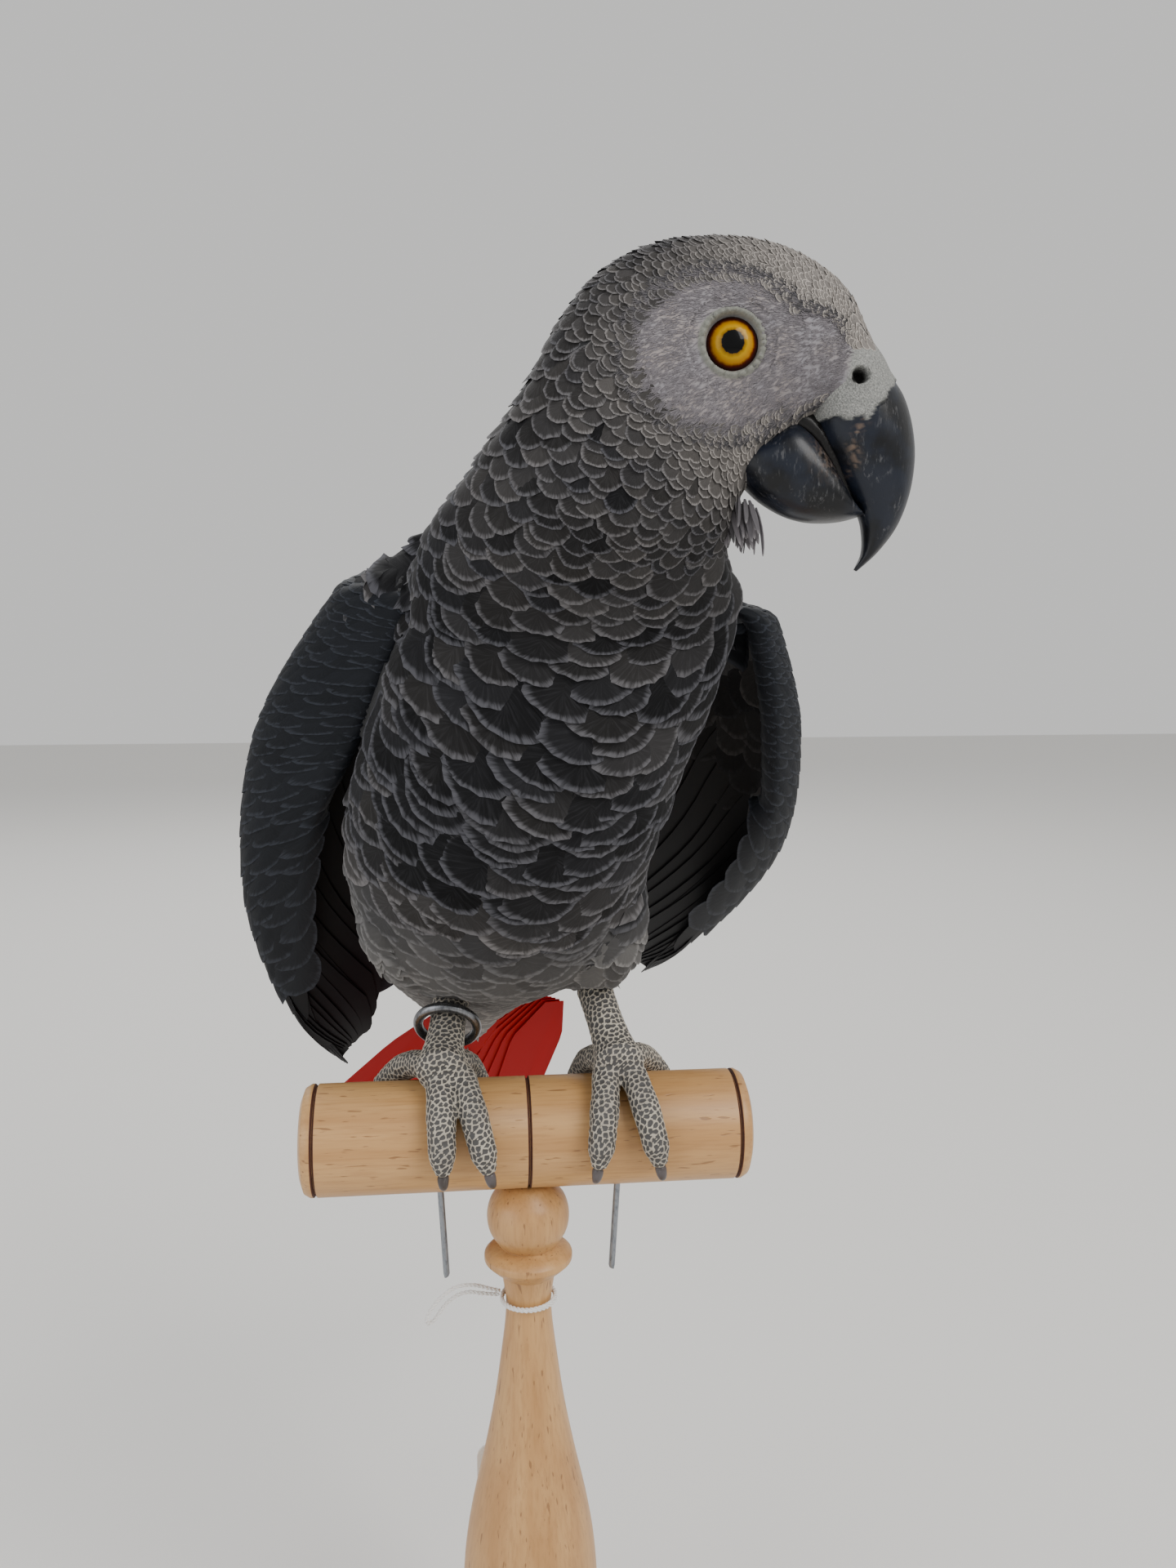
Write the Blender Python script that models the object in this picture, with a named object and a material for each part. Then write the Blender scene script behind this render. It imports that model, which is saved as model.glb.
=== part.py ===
"""A mounted grey parrot on its turned T-perch.

The bird stands on the crossbar of a beech stand, leaning forward with drooped wings, and looks over
its left shoulder. X runs along the bar, the bird faces -Y, +Z is up, and the origin is the middle of
the underside of the base. Shapes are drawn in millimetres and scaled to metres as each mesh is made.
Points of the bird are measured from the axis of the bar, those of the head from the line of the eyes.
"""

import math

import bmesh
import bpy
from mathutils import Matrix, Vector

MM = 0.001
GAP = 0.3

# The stand.
BAR_HEIGHT = 190.0
BAR_RADIUS = 13.25
BAR_LENGTH = 108.0
GROOVE_WIDTH = 0.9
GROOVE_DEPTH = 0.8
END_CAP = 3.4
BASE_RADIUS = 60.0
BASE_THICKNESS = 16.0
COLUMN_SWELLING = [
    (10.6, -163.0),
    (12.8, -154.0),
    (15.6, -143.0),
    (17.1, -131.0),
    (17.2, -122.0),
    (16.4, -110.0),
    (14.5, -98.0),
    (11.4, -84.0),
    (8.7, -70.0),
    (6.8, -56.5),
    (5.8, -48.0),
    (5.7, -42.0),
    (6.6, -36.5),
]
COLUMN_COLLAR = [(9.2, -34.3), (10.9, -32.6), (10.9, -31.2), (9.4, -29.8), (6.7, -29.0)]
COLUMN_BALL_RADIUS = 10.15
COLUMN_BALL_HEIGHT = -21.4

# Leg wires, twine and tag.
WIRE_RADIUS = 0.8
WIRE_LENGTH = 24.0
WIRES = {"wire_right": (-21.4, 1.2), "wire_left": (22.2, -1.2)}
TWINE_RADIUS = 0.45
TIE_HEIGHT = -43.0
TIE_RADIUS = 6.2
CORD_SPACING = 2.7
TAG_SIZE = (24.0, 0.6, 38.0)
TAG_CORNER = 3.0
TAG_MIDDLE = (-1.2, 17.4, -113.2)
TAG_LEAN = 5.0

# The loose bight leaves the tie at the bird's right, droops and comes back to it.
BIGHT_ROUTE = [
    (-7.1, 1.6, -42.2),
    (-9.6, 1.5, -41.4),
    (-12.6, 1.2, -40.3),
    (-15.6, 0.7, -39.7),
    (-18.4, 0.0, -39.9),
    (-20.9, -0.7, -41.1),
    (-23.0, -1.3, -42.9),
    (-24.6, -1.8, -45.0),
    (-25.3, -1.8, -47.0),
    (-24.6, -1.2, -48.2),
    (-23.2, -0.7, -47.4),
    (-21.6, -0.1, -45.3),
    (-19.6, 0.5, -43.4),
    (-17.2, 1.1, -42.3),
    (-14.6, 1.6, -42.1),
    (-12.0, 1.9, -42.7),
    (-9.6, 2.3, -43.3),
    (-7.3, 2.4, -43.6),
]

# The tag's thread leaves the tie at the back and lies down the swelling of the column.
THREAD_ROUTE = [
    (0.0, 7.6, -43.0),
    (-0.2, 8.3, -45.6),
    (-0.4, 8.4, -50.0),
    (-0.6, 8.6, -56.0),
    (-0.8, 9.6, -63.0),
    (-1.0, 11.2, -71.0),
    (-1.1, 12.9, -79.0),
    (-1.2, 14.7, -87.0),
    (-1.2, 16.2, -93.6),
]

# Yaw turns a part of the bird from facing -Y towards its left.
TRUNK_YAW = 12.0
HEAD_YAW = 84.0
HEAD_ORIGIN = Vector((35.8, -55.7, 174.6))

# Rings of trunk and neck: (forward, up) of the top and of the bottom, and half the width. Rows of the
# trunk start with its shift to the left, rows of the neck with their yaw and the middle's (x, y).
TRUNK = [
    (6.5, (-3.0, 143.5), (48.5, 120.0), 38.0),
    (3.5, (-14.0, 131.0), (50.0, 107.0), 38.5),
    (-0.5, (-26.0, 114.0), (47.5, 93.0), 38.5),
    (-4.0, (-37.0, 97.0), (42.0, 77.0), 38.5),
    (-5.5, (-48.0, 77.0), (33.5, 61.5), 38.0),
    (-4.5, (-58.5, 58.0), (22.0, 47.0), 35.0),
    (-3.5, (-68.0, 40.0), (7.0, 35.0), 30.5),
    (-3.0, (-77.0, 23.0), (-11.0, 28.0), 25.0),
    (-3.0, (-86.0, 6.0), (-31.0, 19.0), 19.0),
    (-3.0, (-86.0, -6.0), (-50.0, 6.0), 15.0),
]
NECK = [
    (28.0, (11.0, -29.0), (-28.5, 149.5), (29.0, 129.5), 34.0),
    (50.0, (12.5, -40.5), (-27.0, 153.5), (27.0, 136.5), 28.5),
    (72.0, (13.5, -49.0), (-25.0, 157.5), (25.5, 140.5), 22.0),
]

# Rings of the head and bill, measured from the line of the eyes.
SKULL = [
    ((-40.4, -9.3), (1.2, -30.5), 18.4),
    ((-33.8, 2.8), (2.7, -27.8), 17.6),
    ((-26.6, 11.8), (4.2, -24.9), 16.8),
    ((-17.2, 17.3), (6.2, -22.1), 15.6),
    ((-5.8, 19.1), (8.7, -19.4), 14.5),
    ((6.1, 18.0), (11.3, -17.0), 13.6),
    ((15.3, 13.9), (13.3, -14.8), 12.0),
    ((21.9, 8.1), (14.4, -13.6), 10.4),
    ((24.1, 2.5), (14.8, -13.3), 9.4),
]
CERE = [
    ((24.4, 2.1), (14.9, -13.5), 9.2),
    ((27.0, -1.5), (15.2, -13.8), 9.1),
    ((29.2, -5.2), (15.5, -14.1), 8.8),
]
BILL_UPPER = [
    ((29.4, -5.6), (15.7, -14.4), 8.8),
    ((31.8, -9.6), (17.6, -18.0), 8.6),
    ((33.5, -14.8), (20.5, -23.3), 8.0),
    ((34.2, -20.6), (22.6, -27.5), 7.0),
    ((33.6, -27.2), (24.3, -31.4), 5.6),
    ((31.5, -33.2), (25.0, -34.9), 4.0),
    ((28.0, -38.1), (24.6, -38.3), 2.3),
    ((24.0, -41.5), (23.4, -41.2), 0.5),
]
BILL_LOWER = [
    ((3.9, -23.2), (3.1, -24.9), 5.6),
    ((6.2, -20.2), (5.0, -28.1), 8.2),
    ((10.0, -17.6), (8.7, -30.7), 9.0),
    ((14.0, -18.3), (13.3, -31.9), 8.8),
    ((18.0, -21.9), (17.5, -32.2), 8.0),
    ((20.7, -26.0), (21.5, -31.9), 6.4),
    ((22.9, -29.9), (24.2, -31.2), 4.2),
]

NECK_CUT = 0.60
HEAD_CUT = 0.70
BODY_SIDES = 20
BODY_RINGS = 40
EYE_RADIUS = 5.8
EYE_PLACE = (-1.6, -3.1)
EYE_SIDE = 9.6
NOSTRIL_PLACE = (22.6, -5.0)
NOSTRIL_RADIUS = 1.35

# Each wing is a cupped sheet: its leading edge, the crest of its bulge and its edge over the back.
WING_RIGHT = {
    "leading": [
        (-27, -20, 129), (-30, -13, 112), (-40, 0, 99), (-49, 16, 82),
        (-58, 37, 59), (-64, 63, 31), (-65, 93, 1), (-53.5, 122, -28),
    ],
    "crest": [
        (-38, 0, 137), (-57, 19, 119), (-66, 33, 96), (-71, 47, 72),
        (-74, 62, 45), (-70, 77, 20), (-67, 98, -1), (-56, 124.5, -26.5),
    ],
    "back": [
        (-16, 6, 138), (-20, 20, 121), (-26, 36, 98), (-31, 53, 73),
        (-36, 70, 47), (-42, 88, 20), (-48, 107, -3), (-53, 127, -25),
    ],
}
WING_LEFT = {
    "leading": [
        (53, -15, 125), (58, -7, 112), (62, 4, 97), (66, 20, 81),
        (68, 44, 60), (67, 80, 36), (59, 118, 13), (50.5, 152, -7),
    ],
    "crest": [
        (54, 3, 130), (63, 17, 113), (68, 32, 95), (71, 48, 77),
        (72, 69, 54), (69, 93, 33), (61, 123, 12), (53, 154.5, -5.5),
    ],
    "back": [
        (22, 8, 137), (20, 27, 122), (24, 47, 101), (29, 68, 78),
        (34, 90, 56), (40, 113, 34), (46, 136, 12), (50, 157, -4),
    ],
}
WING_THICKNESS = [9.0, 9.0, 7.5, 5.5, 3.6, 2.4, 1.6, 1.2]
WING_LEAST = 0.7
WING_ARM_END = 0.64
WING_ROWS = 20
WING_STEPS = 6

TAIL_FEATHERS = 12
TAIL_ROOT = Vector((-13.0, 58.0, 13.0))
TAIL_TIP = Vector((-22.5, 116.0, -38.0))
TAIL_ROOT_WIDTH = 34.0
TAIL_TIP_WIDTH = 78.0
TAIL_ARCH = 7.0
TAIL_THICKNESS = (2.4, 0.7)
TAIL_NOTCH = 2.2
TAIL_ROUNDING = 5.0

TOE_RADIUS = 3.6
CLAW_RADIUS = 1.5
FEET = {
    "right": {
        "hub": Vector((-20.5, -4.0, 19.6)),
        "ankle": Vector((-17.8, 14.0, 32.0)),
        "thigh": [(-18.4, 11.6, 34.0), (-23.5, 10.0, 40.0), (-27.5, 5.0, 48.0), (-27.0, 0.0, 58.0)],
        "front": {"outer": (-21.0, -20.4), "inner": (-16.6, -9.8)},
        "rear": {"outer": (-22.5, -38.0), "inner": (-18.5, -10.5)},
    },
    "left": {
        "hub": Vector((21.5, -4.0, 19.6)),
        "ankle": Vector((17.0, 12.0, 34.0)),
        "thigh": [(16.9, 10.0, 33.0), (18.0, 7.5, 40.0), (18.0, 2.0, 48.0), (16.0, -1.0, 58.0)],
        "front": {"outer": (24.0, 30.2), "inner": (19.2, 15.6)},
        "rear": {"outer": (23.5, 37.5), "inner": (19.5, 13.0)},
    },
}
TOE_TURNS = {"front": (8.0, 98.0), "rear": (4.0, -80.0)}
TOE_SWELLING = (0.9, 1.0, 0.94, 1.0, 0.94, 0.92, 0.5)
TARSUS_RADII = (3.4, 6.2, 5.8, 4.9, 4.5, 4.5, 4.6)
THIGH_RADII = (6.2, 9.5, 12.5, 13.5)
CLAW_TAPER = (1.1, 1.1, 0.95, 0.75, 0.5, 0.2)
CLAW_TURN = 20.0
GRIP = BAR_RADIUS + TOE_RADIUS + GAP
LEG_RING_RADIUS = 6.95
LEG_RING_ROD = 1.42
LEG_RING_PLACE = 0.5


def clear_scene():
    for obj in list(bpy.data.objects):
        bpy.data.objects.remove(obj, do_unlink=True)


def finish(name, colour, roughness, metallic=0.0):
    """A plain Principled material."""
    material = bpy.data.materials.new(name)
    material.use_nodes = True
    shader = material.node_tree.nodes["Principled BSDF"]
    shader.inputs["Base Color"].default_value = (*colour, 1.0)
    shader.inputs["Roughness"].default_value = roughness
    shader.inputs["Metallic"].default_value = metallic
    return material


def add_object(name, bm, material, smooth=40.0):
    """Turns a bmesh drawn in millimetres, up from the bar's axis, into an object in metres."""
    bmesh.ops.remove_doubles(bm, verts=bm.verts, dist=0.002)
    bmesh.ops.recalc_face_normals(bm, faces=bm.faces)
    bm.transform(Matrix.Scale(MM, 4) @ Matrix.Translation((0.0, 0.0, BAR_HEIGHT)))
    mesh = bpy.data.meshes.new(name)
    bm.to_mesh(mesh)
    bm.free()
    mesh.shade_smooth()
    mesh.set_sharp_from_angle(angle=math.radians(smooth))
    mesh.materials.append(material)
    obj = bpy.data.objects.new(name, mesh)
    bpy.context.scene.collection.objects.link(obj)
    return obj


def cut(obj, cutter):
    """Takes the cutter's shape out of the object."""
    cutter.hide_render = True
    cutter.display_type = "WIRE"
    modifier = obj.modifiers.new("Cut by " + cutter.name, "BOOLEAN")
    modifier.operation = "DIFFERENCE"
    modifier.solver = "EXACT"
    modifier.object = cutter


def join(obj, other):
    """Fuses the other shape into the object."""
    other.hide_render = True
    other.display_type = "WIRE"
    modifier = obj.modifiers.new("Join " + other.name, "BOOLEAN")
    modifier.operation = "UNION"
    modifier.solver = "EXACT"
    modifier.object = other


def spline(values, count):
    """Smooth curve of evenly spaced samples through the values, which are numbers or vectors."""
    last = len(values) - 1
    samples = []
    for i in range(count):
        place = i * last / (count - 1)
        k = min(int(place), last - 1)
        t = place - k
        a = values[max(k - 1, 0)]
        b = values[k]
        c = values[k + 1]
        d = values[min(k + 2, last)]
        curve = (c - a) * t + (a * 2 - b * 5 + c * 4 - d) * t**2 + (b * 3 - a - c * 3 + d) * t**3
        samples.append(b + curve * 0.5)
    return samples


def loft(rings):
    """A closed skin over the rings, with its two ends filled."""
    bm = bmesh.new()
    rows = [[bm.verts.new(point) for point in ring] for ring in rings]
    sides = len(rows[0])
    for lower, upper in zip(rows, rows[1:]):
        for i in range(sides):
            j = (i + 1) % sides
            bm.faces.new((lower[i], lower[j], upper[j], upper[i]))
    bm.faces.new(rows[0])
    bm.faces.new(rows[-1])
    return bm


def headings(yaw):
    """The directions forward and to the bird's left of a body turned by yaw from -Y."""
    turn = math.radians(yaw)
    forward = Vector((math.sin(turn), -math.cos(turn), 0.0))
    left = Vector((math.cos(turn), math.sin(turn), 0.0))
    return forward, left


def station(yaw, middle, dorsal, ventral, half_width):
    """A cross-section: its top and bottom points, its sideways direction and its half width.

    dorsal and ventral are (forward, up) from the point middle.
    """
    forward, left = headings(yaw)
    top = middle + forward * dorsal[0] + Vector((0.0, 0.0, dorsal[1]))
    bottom = middle + forward * ventral[0] + Vector((0.0, 0.0, ventral[1]))
    return top, bottom, left, half_width


def section(top, bottom, left, half_width, sides, grow=0.0):
    """An ellipse through top and bottom, as wide as half_width on each side."""
    middle = (top + bottom) / 2
    up = (top - bottom) / 2
    up += up.normalized() * grow
    out = left.normalized() * (half_width + grow)
    turns = [math.tau * i / sides for i in range(sides)]
    return [middle + up * math.cos(turn) + out * math.sin(turn) for turn in turns]


def sections(stations, count, sides, grow=0.0):
    """Smoothly placed cross-sections through the stations."""
    columns = [spline(list(column), count) for column in zip(*stations)]
    return [section(*row, sides, grow) for row in zip(*columns)]


def tube(points, radii, sides):
    """Rings round a path, one for each point."""
    rings = []
    side = Vector((0.0, 0.0, 1.0))
    for i, (point, radius) in enumerate(zip(points, radii)):
        ahead = points[min(i + 1, len(points) - 1)] - points[max(i - 1, 0)]
        ahead.normalize()
        if i == 0:
            side = ahead.orthogonal()
        side = (side - ahead * side.dot(ahead)).normalized()
        other = ahead.cross(side)
        turns = [math.tau * k / sides for k in range(sides)]
        rings.append([point + (side * math.cos(a) + other * math.sin(a)) * radius for a in turns])
    return rings


def turned(profile, steps, turn=Matrix.Identity(3)):
    """A solid of revolution about Z from (radius, height) points, then turned as a whole."""
    bm = bmesh.new()
    verts = [bm.verts.new((radius, 0.0, height)) for radius, height in profile]
    edges = [bm.edges.new(pair) for pair in zip(verts, verts[1:])]
    bmesh.ops.spin(
        bm,
        geom=verts + edges,
        cent=(0.0, 0.0, 0.0),
        axis=(0.0, 0.0, 1.0),
        angle=math.tau,
        steps=steps,
        use_merge=True,
    )
    bm.transform(turn.to_4x4())
    return bm


# The stand -----------------------------------------------------------------------------------


def make_base(beech):
    """A turned disc with a rounded rim and a raised step under the column."""
    top = -BAR_HEIGHT + BASE_THICKNESS
    profile = [
        (0.0, -BAR_HEIGHT),
        (BASE_RADIUS - 2.0, -BAR_HEIGHT),
        (BASE_RADIUS, -BAR_HEIGHT + 2.0),
        (BASE_RADIUS, top - 7.0),
        (BASE_RADIUS - 1.6, top - 4.2),
        (BASE_RADIUS - 5.0, top - 3.0),
        (BASE_RADIUS - 26.0, top - 1.5),
        (BASE_RADIUS - 36.0, top),
        (0.0, top),
    ]
    return add_object("base", turned(profile, 28), beech, smooth=30.0)


def ball_profile(radius, height, low, high, count):
    """Points on a ball's side between two heights, bottom to top."""
    heights = [low + (high - low) * i / (count - 1) for i in range(count)]
    return [(math.sqrt(max(radius**2 - (z - height) ** 2, 0.0)), z) for z in heights]


def make_column(beech):
    """A baluster: foot bead, long swelling, thin neck, collar and the ball that carries the bar."""
    foot = -BAR_HEIGHT + BASE_THICKNESS + GAP
    bead = [(11.0, foot), (12.4, foot + 2.0), (12.4, foot + 4.2), (10.2, foot + 6.4)]
    seat = -BAR_RADIUS - GAP
    ball = ball_profile(COLUMN_BALL_RADIUS, COLUMN_BALL_HEIGHT, COLUMN_BALL_HEIGHT - 7.0, seat, 6)
    profile = [(0.0, foot)] + bead + COLUMN_SWELLING + COLUMN_COLLAR + ball + [(0.0, seat)]
    return add_object("column", turned(profile, 16), beech)


def make_perch(beech):
    """The crossbar, with a groove near each end and one at the middle."""
    half = BAR_LENGTH / 2
    groove = GROOVE_WIDTH / 2
    floor = BAR_RADIUS - GROOVE_DEPTH
    rounding = [
        (0.0, half),
        (BAR_RADIUS - 3.0, half),
        (BAR_RADIUS - 0.8, half - 0.8),
        (BAR_RADIUS, half - 2.2),
    ]
    side = [(radius, -place) for radius, place in rounding]
    for place in (-half + END_CAP, 0.0, half - END_CAP):
        side += [(BAR_RADIUS, place - groove), (floor, place), (BAR_RADIUS, place + groove)]
    side += rounding[::-1]
    along_x = Matrix.Rotation(math.radians(90.0), 3, "Y")
    return add_object("perch", turned(side, 20, along_x), beech, smooth=25.0)


def make_wire(name, place, lean, steel):
    """The end of a leg wire, standing out below the bar."""
    start = Vector((place, 0.0, -BAR_RADIUS - GAP))
    end = start + Vector((lean, 1.5, -WIRE_LENGTH))
    rings = tube([start, end], [WIRE_RADIUS, WIRE_RADIUS], 8)
    return add_object(name, loft(rings), steel)


def make_string_tie(twine):
    """Two turns of twine round the neck of the column, as one ring."""
    thick = TWINE_RADIUS * 1.9
    profile = []
    for i in range(6):
        turn = math.tau * i / 5
        across = TIE_RADIUS + TWINE_RADIUS * (1.0 + math.cos(turn))
        profile.append((across, TIE_HEIGHT + thick * math.sin(turn)))
    return add_object("string_tie", turned(profile, 16), twine)


def make_cord(name, route, twine):
    """A round cord as a curve with a bevel, through a smooth curve of the route's points."""
    points = [Vector(point) for point in route]
    length = sum((b - a).length for a, b in zip(points, points[1:]))
    samples = spline(points, round(length / CORD_SPACING) + 1)
    data = bpy.data.curves.new(name, "CURVE")
    data.dimensions = "3D"
    data.bevel_depth = TWINE_RADIUS * MM
    data.bevel_resolution = 2
    data.use_fill_caps = True
    line = data.splines.new("POLY")
    line.points.add(len(samples) - 1)
    for node, sample in zip(line.points, samples):
        node.co = (*((sample + Vector((0.0, 0.0, BAR_HEIGHT))) * MM), 1.0)
    data.materials.append(twine)
    obj = bpy.data.objects.new(name, data)
    bpy.context.scene.collection.objects.link(obj)
    return obj


def make_tag(card):
    """A blank card with rounded corners, hanging behind the column and leaning on it."""
    width, thickness, height = TAG_SIZE
    bm = bmesh.new()
    corners = []
    for across, up, start in ((1, 1, 0.0), (-1, 1, 90.0), (-1, -1, 180.0), (1, -1, 270.0)):
        middle = Vector((across * (width / 2 - TAG_CORNER), 0.0, up * (height / 2 - TAG_CORNER)))
        for step in range(4):
            turn = math.radians(start + 30.0 * step)
            out = Vector((math.cos(turn), 0.0, math.sin(turn)))
            corners.append(bm.verts.new(middle + out * TAG_CORNER))
    face = bm.faces.new(corners)
    pushed = bmesh.ops.extrude_face_region(bm, geom=[face])
    raised = [item for item in pushed["geom"] if isinstance(item, bmesh.types.BMVert)]
    bmesh.ops.translate(bm, verts=raised, vec=(0.0, thickness, 0.0))
    lean = Matrix.Rotation(math.radians(TAG_LEAN), 4, "X")
    bm.transform(Matrix.Translation(TAG_MIDDLE) @ lean)
    return add_object("tag", bm, card)


# Head, neck and trunk ------------------------------------------------------------------------


def trunk_stations():
    """From the shoulders back to the coverts of the tail: sideways, dorsal, ventral, half width."""
    left = headings(TRUNK_YAW)[1]
    return [station(TRUNK_YAW, left * row[0], *row[1:]) for row in TRUNK]


def neck_stations():
    """The turn of the neck, from the shoulders up to the cheeks."""
    return [station(row[0], Vector((*row[1], 0.0)), *row[2:]) for row in NECK]


def head_stations(rows):
    """Cross-sections of the head and bill: dorsal and ventral (forward, up) and half width."""
    return [station(HEAD_YAW, HEAD_ORIGIN, *row) for row in rows]


def body_rings(first, last, grow=0.0):
    """Rings of the whole feathered body between two fractions of its length, tail to forehead."""
    stations = trunk_stations()[::-1] + neck_stations() + head_stations(SKULL)
    rings = sections(stations, BODY_RINGS, BODY_SIDES, grow)
    steps = BODY_RINGS - 1
    return rings[round(first * steps) : round(last * steps) + 1]


def pulled_in(rings, at_start, at_end):
    """The rings with half the gap taken off one end or both, along the body."""
    rings = [list(ring) for ring in rings]
    for wanted, end, inner in ((at_start, 0, 1), (at_end, -1, -2)):
        if wanted:
            middle = sum(rings[end], Vector()) / len(rings[end])
            ahead = sum(rings[inner], Vector()) / len(rings[inner]) - middle
            step = ahead.normalized() * GAP * 0.75
            rings[end] = [point + step for point in rings[end]]
    return rings


def eye_middle(side):
    forward, left = headings(HEAD_YAW)
    ahead, up = EYE_PLACE
    return HEAD_ORIGIN + forward * ahead + left * side * EYE_SIDE + Vector((0.0, 0.0, up))


def make_ball(name, middle, radius, segments, material):
    place = Matrix.Translation(middle)
    bm = bmesh.new()
    rows = segments - 4
    bmesh.ops.create_uvsphere(bm, u_segments=segments, v_segments=rows, radius=radius, matrix=place)
    return add_object(name, bm, material)


def make_body(plumage):
    """Trunk, neck and head as one form, parted by two thin cuts."""
    spans = {"trunk": (0.0, NECK_CUT), "neck": (NECK_CUT, HEAD_CUT), "head": (HEAD_CUT, 1.0)}
    pieces = {}
    for name, (first, last) in spans.items():
        rings = pulled_in(body_rings(first, last), first > 0.0, last < 1.0)
        pieces[name] = add_object(name, loft(rings), plumage)
    return pieces


def make_face(head, neck, glass, horn, skin, plumage):
    """Eyes, cere and the two halves of the bill, with their seats in the head."""
    for side, name in ((-1, "eye_right"), (1, "eye_left")):
        make_ball(name, eye_middle(side), EYE_RADIUS, 12, glass)
        cut(head, make_ball("socket_" + name, eye_middle(side), EYE_RADIUS + 2 * GAP, 10, plumage))
    cere = add_object("cere", loft(sections(head_stations(CERE), 4, 16)), skin)
    add_object("bill_upper", loft(sections(head_stations(BILL_UPPER), 12, 12)), horn)
    add_object("bill_lower", loft(sections(head_stations(BILL_LOWER), 9, 12)), horn)
    seat_rings = sections(head_stations(BILL_LOWER), 9, 12, GAP + 0.1)
    seat = add_object("seat_bill_lower", loft(seat_rings), horn)
    cut(head, seat)
    cut(neck, seat)
    forward, left = headings(HEAD_YAW)
    for side in (-1, 1):
        mouth = HEAD_ORIGIN + forward * NOSTRIL_PLACE[0] + Vector((0.0, 0.0, NOSTRIL_PLACE[1]))
        outside = mouth + left * side * 14.0
        inside = mouth + left * side * 5.0
        rings = tube([inside, outside], [NOSTRIL_RADIUS, NOSTRIL_RADIUS], 8)
        cut(cere, add_object("nostril" + str(side), loft(rings), skin))


# Wings ---------------------------------------------------------------------------------------

def wing_ring(leading, crest, back, thickness):
    """A crescent through the three points, thickest near the leading edge."""
    steps = WING_STEPS
    bend = crest * 2 - (leading + back) / 2
    outer = []
    for i in range(steps + 1):
        t = i / steps
        outer.append(leading * (1 - t) ** 2 + bend * 2 * t * (1 - t) + back * t**2)
    across = back - leading
    inward = (leading + back) / 2 - crest
    inward -= across * inward.dot(across) / across.length_squared
    inward.normalize()
    ring = list(outer)
    for i in range(steps - 1, 0, -1):
        t = i / steps
        depth = max(thickness * (1.25 - t) * math.sqrt(math.sin(math.pi * t)), WING_LEAST)
        ring.append(outer[i] + inward * depth)
    return ring


def wing_rings(rails):
    """Rings from the wrist to the tip."""
    lines = []
    for rail in ("leading", "crest", "back"):
        lines.append(spline([Vector(point) for point in rails[rail]], WING_ROWS))
    thickness = spline(WING_THICKNESS, WING_ROWS)
    return [wing_ring(*row) for row in zip(*lines, thickness)]


def make_wing(side, rails, plumage, trunk):
    """The arm with its coverts and secondaries, and the hand with its primaries."""
    rings = wing_rings(rails)
    split = round(WING_ARM_END * (WING_ROWS - 1))
    spans = {"arm": rings[: split + 1], "hand": pulled_in(rings[split:], True, False)}
    for name, span in spans.items():
        piece = add_object(f"wing_{side}_{name}", loft(span), plumage)
        if name == "arm":
            cut(piece, trunk)


# Tail ----------------------------------------------------------------------------------------

def make_tail(plumage):
    """A fan of square-ended feathers, arched across, as one thin plate with a notch between tips."""
    columns = TAIL_FEATHERS * 3
    rows = 3
    axis = TAIL_TIP - TAIL_ROOT
    left = headings(TRUNK_YAW - 6.0)[1]
    up = left.cross(axis).normalized()
    if up.z < 0:
        up = -up
    layers = []
    bm = bmesh.new()
    for layer in (0.5, -0.5):
        grid = []
        for j in range(rows):
            along = j / (rows - 1)
            width = TAIL_ROOT_WIDTH + (TAIL_TIP_WIDTH - TAIL_ROOT_WIDTH) * along
            thickness = TAIL_THICKNESS[0] + (TAIL_THICKNESS[1] - TAIL_THICKNESS[0]) * along
            line = []
            for i in range(columns + 1):
                across = 2.0 * i / columns - 1.0
                notch = TAIL_NOTCH if i % 3 == 0 else 0.0
                reach = along * (1.0 - (notch + TAIL_ROUNDING * across**4) / axis.length)
                point = TAIL_ROOT + axis * reach + left * across * width / 2
                point += up * (layer * thickness - TAIL_ARCH * across**2 * (0.4 + 0.6 * along))
                line.append(bm.verts.new(point))
            grid.append(line)
        layers.append(grid)
    for grid in layers:
        for lower, upper in zip(grid, grid[1:]):
            for i in range(columns):
                bm.faces.new((lower[i], lower[i + 1], upper[i + 1], upper[i]))
    border = [(j, 0) for j in range(rows)]
    border += [(rows - 1, i) for i in range(1, columns + 1)]
    border += [(j, columns) for j in range(rows - 2, -1, -1)]
    border += [(0, i) for i in range(columns - 1, 0, -1)]
    for (j, i), (n, m) in zip(border, border[1:] + border[:1]):
        bm.faces.new((layers[0][j][i], layers[0][n][m], layers[1][n][m], layers[1][j][i]))
    return add_object("tail", bm, plumage)


# Legs ----------------------------------------------------------------------------------------

def on_bar(across, turn, lift=0.0):
    """A point over the bar's surface; turn runs from its top towards the front, in degrees."""
    angle = math.radians(turn)
    reach = GRIP + lift
    return Vector((across, -reach * math.sin(angle), reach * math.cos(angle)))


def make_toe(name, across, start, end, skin):
    """A toe with its swollen pads, lying over the bar."""
    count = len(TOE_SWELLING)
    steps = [i / (count - 1) for i in range(count)]
    shift = across[1] - across[0]
    path = [on_bar(across[0] + shift * t, start + (end - start) * t) for t in steps]
    radii = [TOE_RADIUS * scale for scale in TOE_SWELLING]
    return add_object(name, loft(tube(path, radii, 8)), skin)


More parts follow.
